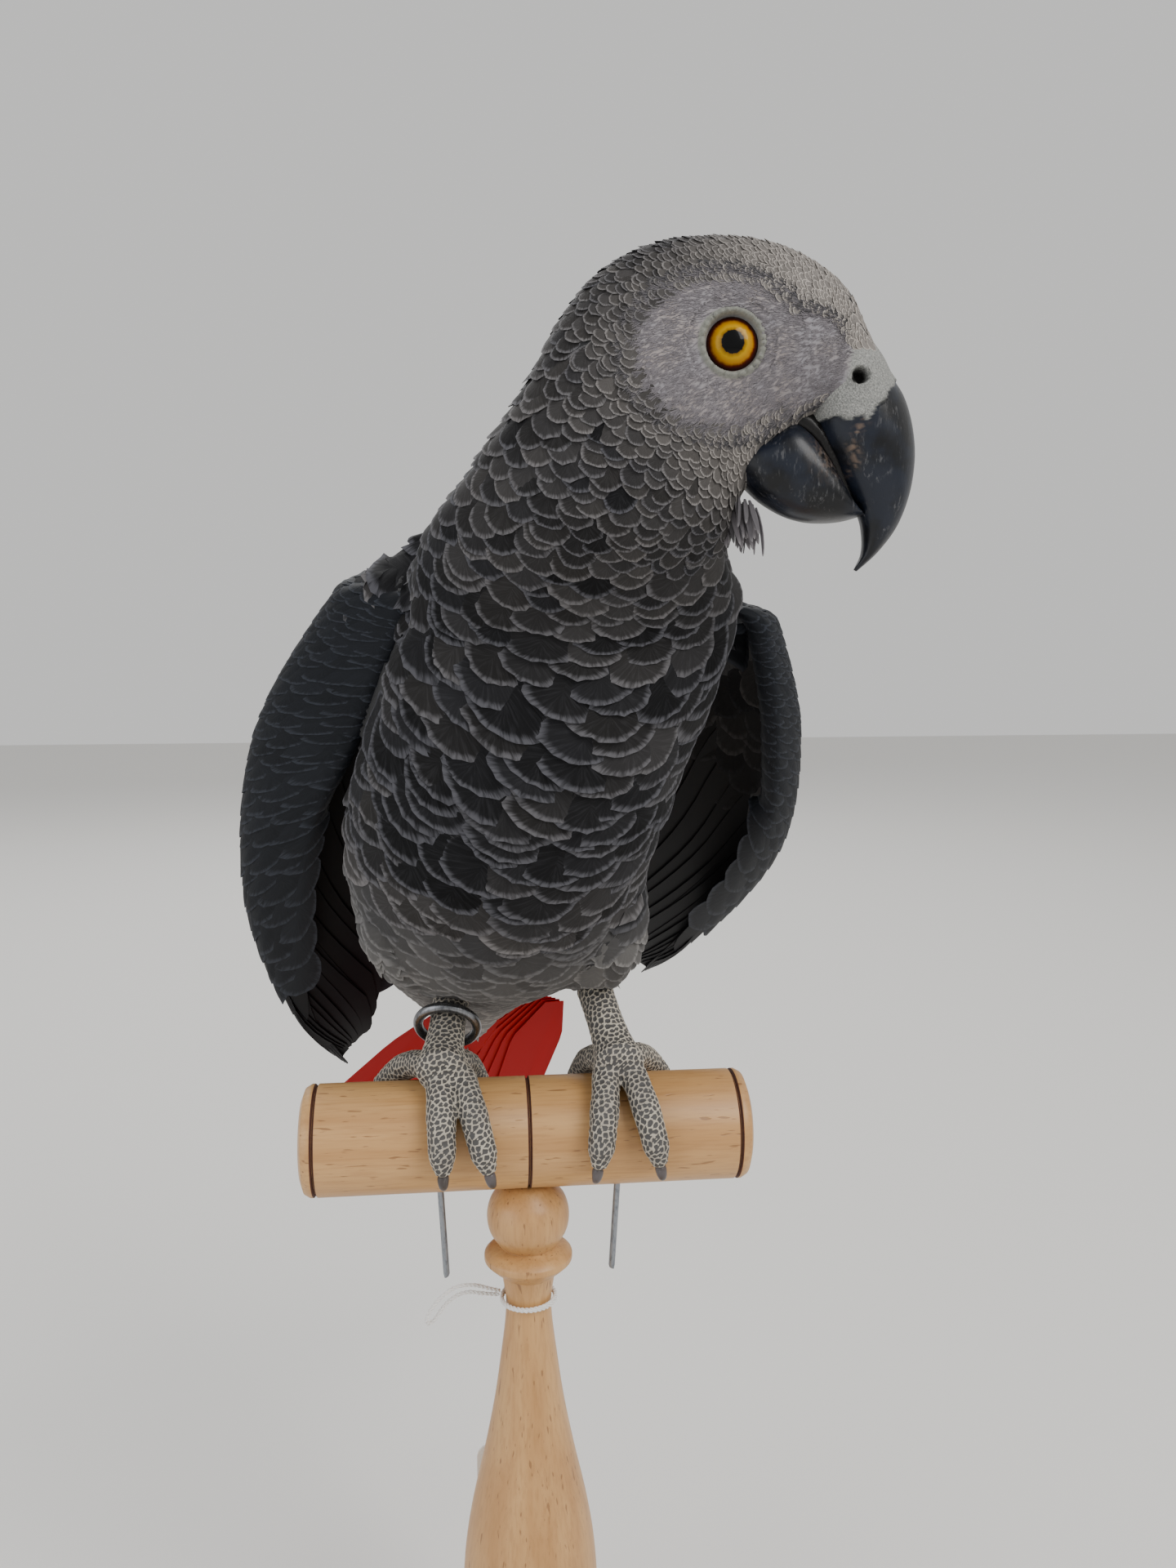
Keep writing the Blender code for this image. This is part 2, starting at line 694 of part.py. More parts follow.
def make_claw(name, across, start, end, horn):
    """A curved claw beyond the end of its toe."""
    sign = 1.0 if end > start else -1.0
    drift = (across[1] - across[0]) * 0.2
    path = []
    for i in range(len(CLAW_TAPER)):
        t = i / (len(CLAW_TAPER) - 1)
        lift = 1.4 * math.sin(math.pi * t) - 1.6 * t - 0.9
        path.append(on_bar(across[1] + drift * t, end + sign * (1.9 + CLAW_TURN * t), lift))
    radii = [CLAW_RADIUS * scale for scale in CLAW_TAPER]
    add_object(name, loft(tube(path, radii, 6)), horn)


def make_leg(side, foot, skin, horn, plumage, trunk, trunk_seat):
    """Thigh feathers, tarsus with its four toes, and the four claws of one leg."""
    hub, ankle = foot["hub"], foot["ankle"]
    route = [hub + Vector((0.0, -5.0, -1.2)), hub, hub.lerp(ankle, 0.45), hub.lerp(ankle, 0.92)]
    path = spline(route, len(TARSUS_RADII))
    tarsus = add_object("foot_" + side, loft(tube(path, TARSUS_RADII, 10)), skin)
    for end, turns in TOE_TURNS.items():
        for place, across in foot[end].items():
            name = f"{side}_{end}_{place}"
            join(tarsus, make_toe("toe_" + name, across, *turns, skin))
            make_claw("claw_" + name, across, *turns, horn)
    thigh_path = spline([Vector(point) for point in foot["thigh"]], 7)
    thigh_radii = spline(list(THIGH_RADII), 7)
    thigh = add_object("thigh_" + side, loft(tube(thigh_path, thigh_radii, 14)), plumage)
    cut(thigh, trunk_seat)
    seat_path = [hub, hub.lerp(ankle, 0.92 + GAP / (ankle - hub).length)]
    seat = add_object("seat_foot_" + side, loft(tube(seat_path, [6.2, 5.2], 12)), skin)
    cut(thigh, seat)
    cut(trunk, seat)


def make_leg_ring(steel, parted):
    """A closed ring of round rod round the right tarsus, square to it; the plumage parts round it."""
    foot = FEET["right"]
    axis = foot["ankle"] - foot["hub"]
    square = axis.to_track_quat("Z", "Y").to_matrix().to_4x4()
    place = Matrix.Translation(foot["hub"] + axis * LEG_RING_PLACE) @ square
    profile = []
    for i in range(7):
        turn = math.tau * i / 6
        across = LEG_RING_RADIUS + LEG_RING_ROD * math.cos(turn)
        profile.append((across, LEG_RING_ROD * math.sin(turn)))
    ring = turned(profile, 18)
    ring.transform(place)
    add_object("leg_ring", ring, steel)
    reach = LEG_RING_RADIUS + LEG_RING_ROD + GAP + 0.2
    half = LEG_RING_ROD + GAP
    disc = turned([(0.0, -half), (reach, -half), (reach, half), (0.0, half)], 20)
    disc.transform(place)
    seat = add_object("seat_leg_ring", disc, steel)
    for piece in parted:
        cut(piece, seat)


def main():
    clear_scene()
    beech = finish("Beech", (0.55, 0.33, 0.14), 0.45)
    steel = finish("Polished steel", (0.55, 0.56, 0.57), 0.25, 1.0)
    wire = finish("Galvanised wire", (0.35, 0.37, 0.39), 0.45, 1.0)
    twine = finish("White twine", (0.8, 0.79, 0.75), 0.9)
    card = finish("White card", (0.85, 0.84, 0.8), 0.8)
    plumage = finish("Grey plumage", (0.07, 0.07, 0.08), 0.8)
    slate = finish("Slate wing feathers", (0.03, 0.032, 0.037), 0.7)
    scarlet = finish("Red tail feathers", (0.5, 0.01, 0.01), 0.6)
    scales = finish("Scaled skin", (0.4, 0.37, 0.33), 0.7)
    bare = finish("Bare pale skin", (0.5, 0.5, 0.48), 0.7)
    horn = finish("Black horn", (0.02, 0.022, 0.027), 0.35)
    glass = finish("Amber glass", (0.7, 0.3, 0.01), 0.05)

    make_base(beech)
    make_column(beech)
    make_perch(beech)
    for name, (place, lean) in WIRES.items():
        make_wire(name, place, lean, wire)
    make_string_tie(twine)
    make_cord("string_bight", BIGHT_ROUTE, twine)
    make_cord("tag_thread", THREAD_ROUTE, twine)
    make_tag(card)

    pieces = make_body(plumage)
    make_face(pieces["head"], pieces["neck"], glass, horn, bare, plumage)
    trunk_seat = add_object("seat_trunk", loft(body_rings(0.0, NECK_CUT + 0.05, GAP)), plumage)
    make_wing("right", WING_RIGHT, slate, trunk_seat)
    make_wing("left", WING_LEFT, slate, trunk_seat)
    cut(make_tail(scarlet), trunk_seat)
    for side, foot in FEET.items():
        make_leg(side, foot, scales, horn, plumage, pieces["trunk"], trunk_seat)
    make_leg_ring(steel, [pieces["trunk"], bpy.data.objects["thigh_right"]])


main()
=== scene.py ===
import math
import random

import bmesh
import bpy
import numpy as np
from mathutils import Matrix, Vector, noise
from mathutils.bvhtree import BVHTree
from mathutils.kdtree import KDTree


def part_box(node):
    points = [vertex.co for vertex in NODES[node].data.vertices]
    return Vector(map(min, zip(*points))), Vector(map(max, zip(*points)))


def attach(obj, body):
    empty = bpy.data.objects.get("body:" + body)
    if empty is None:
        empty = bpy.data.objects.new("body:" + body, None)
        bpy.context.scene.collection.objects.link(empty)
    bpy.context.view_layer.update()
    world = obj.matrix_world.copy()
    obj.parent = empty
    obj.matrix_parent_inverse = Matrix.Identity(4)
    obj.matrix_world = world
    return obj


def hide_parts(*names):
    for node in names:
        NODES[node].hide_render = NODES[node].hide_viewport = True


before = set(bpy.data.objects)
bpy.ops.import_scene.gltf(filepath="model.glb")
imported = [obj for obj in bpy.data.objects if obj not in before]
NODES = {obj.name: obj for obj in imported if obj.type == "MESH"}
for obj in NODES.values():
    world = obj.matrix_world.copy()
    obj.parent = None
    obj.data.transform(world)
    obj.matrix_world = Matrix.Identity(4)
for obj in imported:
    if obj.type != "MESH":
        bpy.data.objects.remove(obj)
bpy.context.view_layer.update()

chance = random.Random(7)
dice = np.random.default_rng(7)

MM = 0.001


def middle(node):
    low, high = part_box(node)
    return (Vector(low) + Vector(high)) / 2


BAR = middle("perch")
EYES = {-1: middle("eye_right"), 1: middle("eye_left")}
HEAD = (EYES[-1] + EYES[1]) / 2
LEFT = (EYES[1] - EYES[-1]).normalized()
AHEAD = Vector((LEFT.y, -LEFT.x, 0.0))
UP = Vector((0.0, 0.0, 1.0))


def at(x, y, z):
    """A point in millimetres from the middle of the bar, in metres."""
    return BAR + Vector((x, y, z)) * MM


def on_head(ahead, side, up):
    """A point in millimetres ahead of, to the left of and above the middle between the eyes."""
    return HEAD + (AHEAD * ahead + LEFT * side + UP * up) * MM


# Camera, light and floor -----------------------------------------------------------------------

CAMERA_PLACE = (-15.2, -286.3, 123.4)
CAMERA_TURN = 6.0
CAMERA_DIP = 7.5
LENS = 28.125


def make_camera():
    data = bpy.data.cameras.new("camera")
    data.lens = LENS
    data.clip_start = 0.02
    camera = bpy.data.objects.new("camera", data)
    camera.location = at(*CAMERA_PLACE)
    camera.rotation_euler = (math.radians(90.0 - CAMERA_DIP), 0.0, math.radians(-CAMERA_TURN))
    bpy.context.scene.collection.objects.link(camera)
    bpy.context.scene.camera = camera


def make_light(name, place, aim, size, power, colour):
    data = bpy.data.lights.new(name, "AREA")
    data.shape = "RECTANGLE"
    data.size, data.size_y = size
    data.energy = power
    data.color = colour
    light = bpy.data.objects.new(name, data)
    light.location = place
    light.rotation_mode = "QUATERNION"
    light.rotation_quaternion = (place - aim).to_track_quat("Z", "Y")
    bpy.context.scene.collection.objects.link(light)


def make_studio():
    aim = at(0.0, 0.0, 60.0)
    make_light("key", aim + Vector((0.75, -0.85, 0.95)), aim, (0.7, 0.9), 16.0, (1.0, 0.985, 0.96))
    make_light("fill", aim + Vector((-1.2, -0.7, 0.35)), aim, (1.2, 1.2), 8.0, (0.95, 0.97, 1.0))
    make_light("back", aim + Vector((-0.2, 1.3, 1.0)), aim, (1.4, 0.8), 11.0, (1.0, 1.0, 1.0))
    world = bpy.data.worlds.new("studio")
    world.use_nodes = True
    sky = world.node_tree.nodes["Background"]
    sky.inputs["Color"].default_value = (0.99, 0.985, 0.97, 1.0)
    sky.inputs["Strength"].default_value = 0.72
    bpy.context.scene.world = world
    bm = bmesh.new()
    bmesh.ops.create_grid(bm, x_segments=1, y_segments=1, size=3.0)
    mesh = bpy.data.meshes.new("floor")
    bm.to_mesh(mesh)
    bm.free()
    floor = bpy.data.objects.new("floor", mesh)
    bpy.context.scene.collection.objects.link(floor)
    shades = Shades("pale floor")
    shades.surface(0.9, **{"Base Color": (0.72, 0.71, 0.69, 1.0)})
    mesh.materials.append(shades.material)


# Materials -------------------------------------------------------------------------------------


def linear(red, green, blue):
    """A display colour from 0 to 255 as the linear colour that shaders use."""
    values = [channel / 255.0 for channel in (red, green, blue)]
    return (*(v / 12.92 if v <= 0.04045 else ((v + 0.055) / 1.055) ** 2.4 for v in values), 1.0)


class Signal:
    """The output of a node, with arithmetic."""

    def __init__(self, shades, socket):
        self.shades = shades
        self.socket = socket

    def math(self, operation, *others):
        inputs = dict(enumerate((self, *others)))
        return self.shades.node("Math", {"operation": operation}, inputs)

    def __add__(self, other):
        return self.math("ADD", other)

    def __sub__(self, other):
        return self.math("SUBTRACT", other)

    def __rsub__(self, other):
        return self.shades.node("Math", {"operation": "SUBTRACT"}, {0: other, 1: self})

    def __mul__(self, other):
        return self.math("MULTIPLY", other)

    def __truediv__(self, other):
        return self.math("DIVIDE", other)

    def __pow__(self, other):
        return self.math("POWER", other)

    __radd__ = __add__
    __rmul__ = __mul__

    def rise(self, low, high):
        """0 below low, 1 above high, and a smooth rise between."""
        settings = {"interpolation_type": "SMOOTHSTEP"}
        inputs = {"Value": self, "From Min": low, "From Max": high}
        return self.shades.node("MapRange", settings, inputs)


class Shades:
    """The nodes of one material."""

    def __init__(self, name):
        self.material = bpy.data.materials.new(name)
        self.material.use_nodes = True
        self.tree = self.material.node_tree
        self.tree.nodes.clear()

    def node(self, kind, settings=None, inputs=None, output=0):
        made = self.tree.nodes.new("ShaderNode" + kind)
        for key, value in (settings or {}).items():
            if key == "stops":
                ramp = made.color_ramp
                while len(ramp.elements) < len(value):
                    ramp.elements.new(0.5)
                for element, (position, colour) in zip(ramp.elements, value):
                    element.position = position
                    element.color = colour
            else:
                setattr(made, key, value)
        for key, value in (inputs or {}).items():
            if isinstance(key, int):
                socket = made.inputs[key]
            else:
                socket = next(s for s in made.inputs if s.name == key and s.enabled)
            if isinstance(value, Signal):
                self.tree.links.new(value.socket, socket)
            else:
                socket.default_value = value
        shown = [socket for socket in made.outputs if socket.enabled]
        return Signal(self, shown[output]) if shown else made

    def place(self, scale=(1.0, 1.0, 1.0), turn=(0.0, 0.0, 0.0)):
        """Object coordinates in millimetres, scaled and turned."""
        coordinates = self.node("TexCoord", output=3)
        size = [value / MM for value in scale]
        return self.node("Mapping", {}, {"Vector": coordinates, "Scale": size, "Rotation": turn})

    def noise(self, where, scale, detail=2.0, roughness=0.5):
        inputs = {"Vector": where, "Scale": scale, "Detail": detail, "Roughness": roughness}
        return self.node("TexNoise", {}, inputs)

    def mix(self, factor, first, second):
        """A colour between two colours."""
        return self.node("Mix", {"data_type": "RGBA"}, {"Factor": factor, "A": first, "B": second})

    def attribute(self, name):
        return self.node("Attribute", {"attribute_name": name}, output=2)

    def bump(self, height, distance, strength=1.0):
        inputs = {"Height": height, "Distance": distance * MM, "Strength": strength}
        return self.node("Bump", {}, inputs)

    def surface(self, roughness, **inputs):
        inputs = {key.replace("_", " "): value for key, value in inputs.items()}
        shader = self.node("BsdfPrincipled", {}, {"Roughness": roughness, **inputs})
        self.node("OutputMaterial", {}, {"Surface": shader})
        return self.material


def beech(name, along):
    """Pale beech with faint bands and short dark flecks along one axis."""
    shades = Shades(name)
    stretch = [1.0, 1.0, 1.0]
    stretch[along] = 0.07
    grain = shades.place(stretch)
    short = [1.0, 1.0, 1.0]
    short[along] = 0.16
    dashes = shades.place(short)
    bands = shades.noise(grain, 0.16, 3.0)
    fine = shades.noise(grain, 1.3, 3.0, 0.6)
    flecks = shades.noise(dashes, 1.25, 1.0).rise(0.66, 0.74)
    warm = shades.mix(bands.rise(0.3, 0.7), linear(198, 154, 100), linear(180, 133, 80))
    streaked = shades.mix(fine.rise(0.42, 0.7) * 0.35, warm, linear(156, 110, 62))
    colour = shades.mix(flecks * 0.6, streaked, linear(112, 72, 40))
    relief = shades.bump(fine * 0.5 - flecks, 0.05)
    finish = {"Coat_Weight": 0.12, "Coat_Roughness": 0.35}
    return shades.surface(0.5 - fine * 0.12, Base_Color=colour, Normal=relief, **finish)


def burnt():
    """The dark, scorched bottom of a turned groove."""
    shades = Shades("groove in beech")
    soot = shades.noise(shades.place(), 0.9, 3.0)
    colour = shades.mix(soot, linear(96, 52, 34), linear(58, 33, 25))
    return shades.surface(0.7, Base_Color=colour)


def steel(name, bright, dull, roughness):
    """Bright metal with fine scuffs that dull it."""
    shades = Shades(name)
    where = shades.place((1.0, 1.0, 0.3))
    scuffs = shades.noise(where, 1.6, 4.0, 0.65)
    colour = shades.mix(scuffs.rise(0.45, 0.75), bright, dull)
    relief = shades.bump(scuffs, 0.02)
    return shades.surface(roughness + scuffs * 0.18, Base_Color=colour, Metallic=1.0, Normal=relief)


def twine():
    """White cotton twine with loose fibres."""
    shades = Shades("white twine")
    where = shades.place()
    fibres = shades.noise(where, 4.0, 3.0, 0.7)
    colour = shades.mix(fibres, linear(205, 203, 201), linear(244, 243, 240))
    return shades.surface(0.9, Base_Color=colour, Normal=shades.bump(fibres, 0.06), Sheen_Weight=0.3)


def card():
    """A blank card tag, a little stained."""
    shades = Shades("white card")
    where = shades.place()
    pulp = shades.noise(where, 0.8, 4.0, 0.6)
    stains = shades.noise(where, 0.06, 2.0)
    colour = shades.mix(stains.rise(0.5, 0.8) * 0.5, linear(240, 238, 231), linear(222, 212, 190))
    return shades.surface(0.85, Base_Color=colour, Normal=shades.bump(pulp, 0.02))


# The two greys of the powdery cere, which the horn's root and the skin share.
POWDER = (linear(112, 113, 111), linear(160, 160, 156))
# Near-black painted shade for the inside of the nostril pits and of the gape.
PAINTED_PIT_SHADE = linear(14, 12, 12)


def powdered(shades, colour):
    """The colour with the cere's powder and the painted black shade of its nostril pits over it, and
    their relief.
    """
    where = shades.place()
    grains = shades.node("TexVoronoi", {}, {"Vector": where, "Scale": 2.6, "Randomness": 0.9})
    fine = shades.noise(where, 3.2, 4.0, 0.7)
    cere = shades.attribute("cere")
    colour = shades.mix(cere, colour, shades.mix(fine.rise(0.35, 0.7), *POWDER))
    return shades.mix(shades.attribute("pit"), colour, PAINTED_PIT_SHADE), cere, fine, grains


def horn(name, base, painted_sheen, streak):
    """Slate-black horn: a bluish gloss painted in cloudy patches, grey scratches and worn, flaking
    streaks.
    """
    shades = Shades(name)
    where = shades.place()
    upright = shades.place((1.0, 1.0, 0.22))
    clouds = shades.noise(where, 0.16, 3.0)
    scratches = shades.noise(upright, 1.7, 5.0, 0.7).rise(0.52, 0.70)
    patches = shades.noise(where, 0.22, 2.0).rise(0.45, 0.65)
    flakes = shades.attribute("flake")
    # Painted gloss: cloudy patches of a lighter, bluish colour in the base colour stand for the horn's
    # shine.
    colour = shades.mix(clouds.rise(0.35, 0.65), base, painted_sheen)
    colour = shades.mix(scratches * patches * 0.5, colour, linear(112, 112, 114))
    colour = shades.mix(flakes, colour, streak)
    colour, cere, fine, grains = powdered(shades, colour)
    height = shades.noise(upright, 1.1, 4.0, 0.6) * 0.3 + flakes * 0.6
    height = height + cere * (fine * 0.6 - grains * 1.2)
    rough = 0.36 + scratches * patches * 0.25 + flakes * 0.3 + cere * 0.35
    shine = 0.15 - cere * 0.15
    finish = {"Coat_Weight": shine, "Coat_Roughness": 0.2, "Specular_IOR_Level": 0.25}
    return shades.surface(rough, Base_Color=colour, Normal=shades.bump(height, 0.16), **finish)


def iris():
    """A glass eye: black pupil, amber iris that darkens outwards, and a near-black margin."""
    shades = Shades("amber glass eye")
    reach = shades.attribute("reach")
    rays = shades.attribute("rays")
    warp = reach + (rays - 0.5) * 0.03
    stops = [
        (0.0, linear(6, 6, 7)),
        (0.365, linear(6, 6, 7)),
        (0.385, linear(120, 84, 0)),
        (0.50, linear(178, 136, 0)),
        (0.66, linear(166, 112, 0)),
        (0.735, linear(84, 26, 2)),
        (0.79, linear(52, 18, 14)),
        (1.0, linear(14, 9, 9)),
    ]
    ramp = shades.node("ValToRGB", {"stops": stops}, {"Fac": warp})
    finish = {"Coat_Weight": 0.25, "Coat_Roughness": 0.02, "Specular_IOR_Level": 0.04}
    return shades.surface(0.3, Base_Color=ramp, **finish)


def skin_finish():
    """Bare skin: powdery on the cere and lids, bluish pink on the face, near-black grey beneath
    feathers as painted shade between them.
    """
    shades = Shades("parrot skin")
    tint = shades.noise(shades.place(), 0.16, 2.0)
    grit = shades.noise(shades.place(), 3.2, 4.0, 0.7)
    face = shades.mix(tint.rise(0.35, 0.65), linear(132, 129, 134), linear(142, 134, 132))
    # Painted shade: the skin under the coat is near-black, so gaps between feathers look shaded.
    under = shades.mix(tint, linear(22, 22, 24), linear(32, 32, 34))
    colour = shades.mix(shades.attribute("bare").rise(0.05, 0.6), under, face)
    beads = shades.mix(grit, linear(88, 90, 86), linear(146, 146, 136))
    colour = shades.mix(shades.attribute("lid"), colour, beads)
    colour, cere, fine, grains = powdered(shades, colour)
    height = fine * 0.6 + grains * cere * -1.2
    return shades.surface(0.72, Base_Color=colour, Normal=shades.bump(height, 0.16))


def feather(name, centre, rim, pale, barbs, gloss=0.0):
    """Feather vanes: a dark centre, a paler fringe and fine barbs that run out to the edge."""
    shades = Shades(name)
    vane = shades.node("UVMap", {"uv_map": "Vane"})
    along = shades.node("SeparateXYZ", {}, {"Vector": vane}, output=1)
    tone = shades.attribute("tone")
    luck = shades.attribute("luck")
    stretched = shades.node("Mapping", {}, {"Vector": vane, "Scale": (barbs, 1.6, 1.0)})
    offset = shades.node("CombineXYZ", {}, {"X": luck * 37.0, "Y": luck * 11.0, "Z": luck * 5.0})
    where = shades.node("VectorMath", {"operation": "ADD"}, {0: stretched, 1: offset})
    barb = shades.noise(where, 1.0, 2.0, 0.6)
    edge = (along + (barb - 0.5) * 0.22).rise(0.66, 0.95)
    dark = shades.mix(tone, centre, pale[0])
    light = shades.mix(tone, rim, pale[1])
    mottled = shades.mix(luck * 0.16, dark, light)
    body = shades.mix(barb.rise(0.40, 0.78) * 0.13, mottled, light)
    colour = shades.mix(edge * (0.35 + barb.rise(0.3, 0.6) * 0.65), body, light)
    relief = shades.bump(barb * (0.4 + along), 0.07)
    return shades.surface(0.62 - gloss, Base_Color=colour, Normal=relief, Specular_IOR_Level=0.07)


# Making pieces ---------------------------------------------------------------------------------


def add_piece(name, mesh, material, slot, *stands_for, sharp=40.0):
    """A finished mesh as a piece that rides on the stand and replaces the given CAD nodes."""
    mesh.name = name
    mesh.materials.clear()
    mesh.materials.append(material)
    mesh.shade_smooth()
    mesh.set_sharp_from_angle(angle=math.radians(sharp))
    piece = bpy.data.objects.new(name, mesh)
    bpy.context.scene.collection.objects.link(piece)
    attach(piece, "root")
    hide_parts(*stands_for)
    return piece


def mesh_of(bm):
    """The finished shape as a mesh; the bmesh is freed."""
    mesh = bpy.data.meshes.new("shape")
    bm.to_mesh(mesh)
    bm.free()
    return mesh


def points_of(bm):
    """The places and the outward directions of the shape's points, as arrays."""
    bm.normal_update()
    places = np.array([vert.co for vert in bm.verts])
    return places, np.array([vert.normal for vert in bm.verts])


def move(bm, points):
    for vert, point in zip(bm.verts, points):
        vert.co = point


def smooth(bm, verts, times):
    """Moves points half way to the middle of their neighbours, some times over."""
    axes = {"use_axis_x": True, "use_axis_y": True, "use_axis_z": True}
    for _ in range(times):
        bmesh.ops.smooth_vert(bm, verts=verts, factor=0.5, **axes)


def spun(bm, profile, steps):
    """The profile spun all the way round the Z axis, with its seam closed."""
    centre, axis = (0.0, 0.0, 0.0), (0.0, 0.0, 1.0)
    turn = {"angle": math.tau, "steps": steps, "use_merge": True}
    bmesh.ops.spin(bm, geom=profile, cent=centre, axis=axis, **turn)
    bmesh.ops.remove_doubles(bm, verts=bm.verts, dist=0.01 * MM)
    bmesh.ops.recalc_face_normals(bm, faces=bm.faces)


def turned_to(place, direction):
    """The matrix that moves the origin to a place and turns the Z axis to a direction."""
    return Matrix.Translation(place) @ direction.to_track_quat("Z", "Y").to_matrix().to_4x4()


def copy_of(node, grow=0.0):
    """A CAD node's mesh with its loose triangles merged, grown outwards by some millimetres."""
    bm = bmesh.new()
    bm.from_mesh(NODES[node].data)
    bmesh.ops.remove_doubles(bm, verts=bm.verts, dist=0.01 * MM)
    bm.normal_update()
    if grow:
        for vert in bm.verts:
            vert.co += vert.normal * grow * MM
    return bm


def modified(mesh, kind, **settings):
    """The mesh after one modifier."""
    helper = bpy.data.objects.new("helper", mesh)
    bpy.context.scene.collection.objects.link(helper)
    modifier = helper.modifiers.new(kind, kind)
    for key, value in settings.items():
        setattr(modifier, key, value)
    graph = bpy.context.evaluated_depsgraph_get()
    result = bpy.data.meshes.new_from_object(helper.evaluated_get(graph))
    bpy.data.objects.remove(helper)
    return result


def refined(node, levels):
    """A CAD node's mesh with its flat pairs of triangles joined, as a smooth subdivided surface."""
    bm = copy_of(node)
    limits = {"angle_face_threshold": math.radians(8.0), "angle_shape_threshold": math.pi}
    bmesh.ops.join_triangles(bm, faces=bm.faces, **limits)
    return modified(mesh_of(bm), "SUBSURF", levels=levels, render_levels=levels)


def coordinates(mesh):
    points = np.empty(len(mesh.vertices) * 3)
    mesh.vertices.foreach_get("co", points)
    return points.reshape(-1, 3)


def set_values(mesh, name, values):
    """A number for each vertex, read by the materials."""
    attribute = mesh.attributes.new(name, "FLOAT", "POINT")
    attribute.data.foreach_set("value", np.asarray(values, dtype=np.float32))


def step(values, low, high):
    """0 below low, 1 above high, and a smooth rise between."""
    t = np.clip((np.asarray(values) - low) / (high - low), 0.0, 1.0)
    return t * t * (3.0 - 2.0 * t)


def between(values, k, t):
    """The value at share t from values[k] to the next, on a smooth curve through them all."""
    last = len(values) - 1
    a, b, c, d = (values[min(max(i, 0), last)] for i in range(k - 1, k + 3))
    curve = (c - a) * t + (a * 2 - b * 5 + c * 4 - d) * t**2 + (b * 3 - a - c * 3 + d) * t**3
    return b + curve * 0.5


def spline(values, count):
    """Evenly spaced samples of a smooth curve through the values, which are numbers or vectors."""
    last = len(values) - 1
    places = [i * last / (count - 1) for i in range(count)]
    starts = [min(int(place), last - 1) for place in places]
    return [between(values, k, place - k) for k, place in zip(starts, places)]


# Cords -----------------------------------------------------------------------------------------

TWINE = 0.9
BIGHT_ROUTE = [
    (-7.1, 1.6, -42.2),
    (-9.6, 1.5, -41.4),
    (-12.6, 1.2, -40.3),
    (-15.6, 0.7, -39.7),
    (-18.4, 0.0, -39.9),
    (-20.9, -0.7, -41.1),
    (-23.0, -1.3, -42.9),
    (-24.6, -1.8, -45.0),
    (-25.3, -1.8, -47.0),
    (-24.6, -1.2, -48.2),
    (-23.2, -0.7, -47.4),
    (-21.6, -0.1, -45.3),
    (-19.6, 0.5, -43.4),
    (-17.2, 1.1, -42.3),
    (-14.6, 1.6, -42.1),
    (-12.0, 1.9, -42.7),
    (-9.6, 2.3, -43.3),
    (-7.3, 2.4, -43.6),
]
THREAD_ROUTE = [
    (0.0, 7.6, -43.0),
    (-0.2, 8.3, -45.6),
    (-0.4, 8.4, -50.0),
    (-0.6, 8.6, -56.0),
    (-0.8, 9.6, -63.0),
    (-1.0, 11.2, -71.0),
    (-1.1, 12.9, -79.0),
    (-1.2, 14.7, -87.0),
    (-1.2, 16.2, -93.6),
]


def length_of(path):
    return sum((b - a).length for a, b in zip(path, path[1:]))


def twisted(path):
    """Two strands of twine laid round each other along a path."""
    pitch = 2.2 * MM
    strand = TWINE * 0.32 * MM
    data = bpy.data.curves.new("strands", "CURVE")
    data.dimensions = "3D"
    data.bevel_depth = strand
    data.bevel_resolution = 1
    data.use_fill_caps = True
    for ply in (0.0, math.pi):
        line = data.splines.new("POLY")
        line.points.add(len(path) - 1)
        walked = 0.0
        side = UP
        for i, point in enumerate(path):
            ahead = (path[min(i + 1, len(path) - 1)] - path[max(i - 1, 0)]).normalized()
            side = ahead.orthogonal() if i == 0 else side
            side = (side - ahead * side.dot(ahead)).normalized()
            walked += (point - path[max(i - 1, 0)]).length
            turn = ply + math.tau * walked / pitch
            out = side * math.cos(turn) + ahead.cross(side) * math.sin(turn)
            line.points[i].co = (*(point + out * strand * 0.85), 1.0)
    helper = bpy.data.objects.new("strands", data)
    mesh = bpy.data.meshes.new_from_object(helper)
    bpy.data.objects.remove(helper)
    return mesh


def make_cord(name, route, samples, material, node):
    """A limp cord that leaves the object and goes back into it, along a route."""
    path = spline([at(*point) for point in route], samples)
    cord = add_piece(name, twisted(path), material, "twine", node)
    length_of(path)


def make_cords(material):
    make_cord("string_loop", BIGHT_ROUTE, 140, material, "string_bight")
    make_cord("tag_string", THREAD_ROUTE, 160, material, "tag_thread")


def make_tie(material):
    """Two turns of twine round the neck of the column."""
    low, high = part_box("string_tie")
    centre = middle("string_tie")
    radius = (high[0] - low[0]) / 2 - TWINE * 0.5 * MM
    steps = 240
    path = []
    for i in range(steps + 1):
        turn = math.tau * 2.1 * i / steps + 2.0
        rise = (i / steps - 0.5) * TWINE * 1.1 * MM
        wander = 0.12 * MM * math.sin(turn * 1.7)
        around = Vector((radius * math.cos(turn), radius * math.sin(turn), rise + wander))
        path.append(centre + around)
    add_piece("string_turns", twisted(path), material, "twine", "string_tie")


# The stand -------------------------------------------------------------------------------------


def profile_of(node, axis):
    """The (radius, place) points of a turned CAD node, read off its mesh."""
    points = coordinates(NODES[node].data)
    centre = np.array(BAR)
    centre[axis] = 0.0
    others = [k for k in range(3) if k != axis]
    radius = np.hypot(*(points[:, k] - centre[k] for k in others))
    places = np.round(points[:, axis], 6)
    rings = [(radius[places == place].mean(), place) for place in np.unique(places)]
    return [Vector(point) for point in [(0.0, places.min()), *rings, (0.0, places.max())]]


